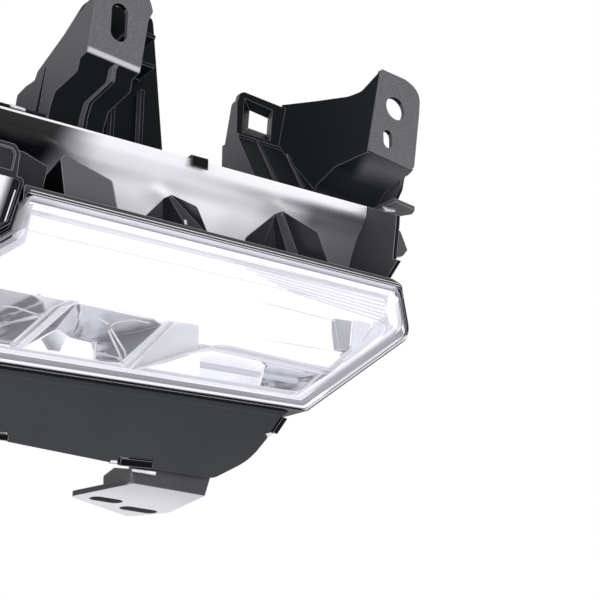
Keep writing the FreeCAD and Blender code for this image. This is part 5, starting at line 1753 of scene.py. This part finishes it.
@dataclass(frozen=True)
class CovePanel:
    """Silver panel with its swages over the fins."""

    left: float = -99.7
    right: float = 99.7
    deck_top: float = LIP_UP
    deck_rise: float = LIP_RISE
    bottom: float = 30.7
    thick: float = 1.5
    gap: float = 0.05
    columns: int = 260
    rows: int = 44
    profile: tuple[Point, ...] = (
        (20.0, 0.0), (21.0, 5.0), (23.8, 9.4), (27.4, 13.4), (30.2, 18.6), (33.6, 26.0), (40.0, 42.0),
    )
    swages: tuple[Point, ...] = ((-49.0, 60.0), (-4.0, 55.0), (50.0, 62.0))
    swage_spread: float = 5.0
    swage_flatness: float = 0.6
    swage_lean: float = 0.5
    swage_high: float = 1.3

    def section(self, share: float) -> Point:
        """Follow the panel's profile as a smooth curve.

        Args:
            share: How far along, from 0 at the top to 1 at the bottom.

        Returns:
            Depth and drop.
        """
        spans = len(self.profile) - 1
        index = min(int(share * spans), spans - 1)
        local = share * spans - index
        points = [Vector(self.profile[min(max(index + shift, 0), spans)]) for shift in (-1, 0, 1, 2)]
        start, here, after, end = points
        spot = 0.5 * (2.0 * here + (after - start) * local
                      + (2.0 * start - 5.0 * here + 4.0 * after - end) * local ** 2
                      + (3.0 * here - start - 3.0 * after + end) * local ** 3)
        return spot.x, spot.y

    def spot(self, across_share: float, down_share: float) -> Vector:
        """Find a place on the panel's front face.

        Args:
            across_share: How far to the right, from 0 to 1.
            down_share: How far down, from 0 to 1.

        Returns:
            The place, in metres.
        """
        across = self.left + (self.right - self.left) * across_share
        depth, drop = self.section(down_share)
        height = self.deck_top + self.deck_rise * across - drop
        tall = self.swage_spread * self.swage_flatness
        for middle, level in self.swages:
            skew = (across - middle) - (level - height) * self.swage_lean
            near = math.exp(-(skew / self.swage_spread) ** 2 - ((height - level) / tall) ** 2)
            depth -= self.swage_high * near
        return at(across, depth + self.gap, max(height, self.bottom))

    def build(self) -> None:
        """Shape a grid into the panel."""
        Bench.activate()
        bpy.ops.mesh.primitive_grid_add(x_subdivisions=self.columns, y_subdivisions=self.rows, size=2.0)
        piece = Bench.start("cove_panel")
        for vertex in piece.data.vertices:
            vertex.co = self.spot((vertex.co.x + 1.0) / 2.0, (1.0 - vertex.co.y) / 2.0)
        Bench.modify(piece, "SOLIDIFY", thickness=self.thick * MM, offset=-1.0)
        Bench.deliver(piece, Finish.SILVER, "silver_trim", "top_panel", sharp=60.0)


@dataclass(frozen=True)
class SmallSprings:
    """Bright spring tongues beside the clips: under the shield, at its side and at the deck's ends."""

    inset: Point = (0.35, 0.15)
    edge: float = 0.12
    tongues: tuple[Plate, ...] = (
        Plate("shield_tongue", 18.6, 19.8, ((-14.6, -57.3), (-5.0, -57.6), (-5.2, -59.0), (-14.4, -58.4))),
        Plate("shield_hook", 17.6, 18.8, ((-24.2, -55.4), (-21.4, -55.0), (-21.4, -56.4), (-24.2, -56.6))),
        Plate("side_hook", 11.6, 12.8, ((38.6, -39.8), (41.4, -38.9), (42.4, -39.4), (39.6, -41.0))),
        Plate("far_tongue", 16.0, 17.0, ((-66.0, -51.4), (-62.9, -51.8), (-62.9, -52.8), (-66.0, -52.5))),
        Plate("ear_spring", 13.0, 14.2, ((103.2, 71.0), (110.6, 72.0), (110.8, 70.4), (104.4, 69.2))),
        Plate("lip_clip", 19.3, 20.4, ((-71.0, 69.9), (-65.2, 69.8), (-65.1, 68.8), (-70.9, 69.0))),
    )

    def build(self) -> None:
        """Build the tongues, each with a rib on its front."""
        pieces = []
        for plate in self.tongues:
            pieces.append(Bench.prism(plate))
            Bench.inset_front(pieces[-1], self.inset)
            Bench.soften(pieces[-1], self.edge)
        Bench.deliver(Bench.join(pieces, "spring_tongues"), Finish.SPRING, "screw_steel")


# Studio


@dataclass(frozen=True)
class Studio:
    """Pale floor, soft lamps and the camera of the photograph."""

    floor_drop: float = 0.6
    floor_size: float = 8.0
    floor_tones: tuple[Colour, ...] = ((0.84, 0.84, 0.84), (0.88, 0.88, 0.88))
    floor_scale: float = 3.0
    floor_roughness: float = 0.8
    lens_length: float = 65.22
    sensor: float = 36.0
    clip_start: float = 0.01
    pitch: float = 17.4
    turn: float = 37.2
    aim: Place = (10.0, 20.0, 30.0)
    world_grey: Colour = (0.68, 0.68, 0.69)
    lamps: tuple[tuple[str, Place, float, float], ...] = (
        ("key_lamp", (-420.0, -700.0, 500.0), 0.7, 0.8),
        ("side_lamp", (800.0, -500.0, 150.0), 0.8, 0.6),
        ("low_lamp", (-150.0, -500.0, -420.0), 0.5, 2.2),
    )

    def camera(self) -> None:
        """Set the camera at the photograph's viewing angle."""
        data = bpy.data.cameras.new("camera")
        data.lens = self.lens_length
        data.sensor_width = self.sensor
        data.clip_start = self.clip_start
        item = bpy.data.objects.new("camera", data)
        bpy.context.scene.collection.objects.link(item)
        item.location = at(*EYE)
        item.rotation_euler = (math.radians(90.0 + self.pitch), 0.0, math.radians(-self.turn))
        bpy.context.scene.camera = item

    def lamp(self, name: str, place: Vector, size: float, power: float) -> None:
        """Add a soft lamp that looks at the object.

        Args:
            name: Its name.
            place: Its place.
            size: Its side.
            power: Its watts.
        """
        data = bpy.data.lights.new(name, "AREA")
        data.size = size
        data.energy = power
        item = bpy.data.objects.new(name, data)
        bpy.context.scene.collection.objects.link(item)
        item.location = place
        item.rotation_euler = (at(*self.aim) - place).to_track_quat("-Z", "Y").to_euler()

    def world(self) -> None:
        """White behind the object, plain grey light from all round."""
        world = bpy.data.worlds.new("studio_world")
        bpy.context.scene.world = world
        world.use_nodes = True
        graph = Graph(world.node_tree)
        world.node_tree.nodes.clear()
        path = graph.add("ShaderNodeLightPath")
        seen = path.outputs["Is Camera Ray"]
        for ray in ("Is Transmission Ray", "Is Glossy Ray"):
            seen = graph.math("MAXIMUM", seen, path.outputs[ray])
        mix = graph.add("ShaderNodeMixShader")
        graph.link(seen, mix.inputs["Fac"])
        for place, colour in ((1, self.world_grey), (2, (1.0, 1.0, 1.0))):
            light = graph.add("ShaderNodeBackground")
            graph.feed(colour, light.inputs["Color"])
            graph.link(light.outputs[0], mix.inputs[place])
        graph.link(mix.outputs[0], graph.add("ShaderNodeOutputWorld").inputs["Surface"])

    def floor(self) -> None:
        """Lay the floor well below the lamp, which hangs by its brackets."""
        Bench.activate()
        low = CAD_BOX[0][2] - self.floor_drop
        bpy.ops.mesh.primitive_plane_add(size=self.floor_size, location=(0.0, 0.0, low))
        plane = Bench.start("floor")
        made = bpy.data.materials.new("floor_paint")
        made.use_nodes = True
        graph = Graph(made.node_tree)
        shader = made.node_tree.nodes["Principled BSDF"]
        tone = graph.blend(graph.noise(graph.place(), self.floor_scale), *self.floor_tones)
        graph.link(tone, shader.inputs["Base Color"])
        shader.inputs["Roughness"].default_value = self.floor_roughness
        plane.data.materials.append(made)

    def build(self) -> None:
        """Build the studio."""
        self.camera()
        self.world()
        self.floor()
        for name, place, size, power in self.lamps:
            self.lamp(name, at(*place), size, power)
        bpy.context.scene.view_settings.view_transform = "Standard"
        LOG.info("studio ready")


def main() -> None:
    """Build the looks in order."""
    logging.basicConfig(level=logging.INFO, format="%(message)s")
    Studio().build()
    Dresser().dress()
    LensInside().build()
    BrowLines().build()
    CovePanel().build()
    SmallSprings().build()


if __name__ == "__main__":
    main()
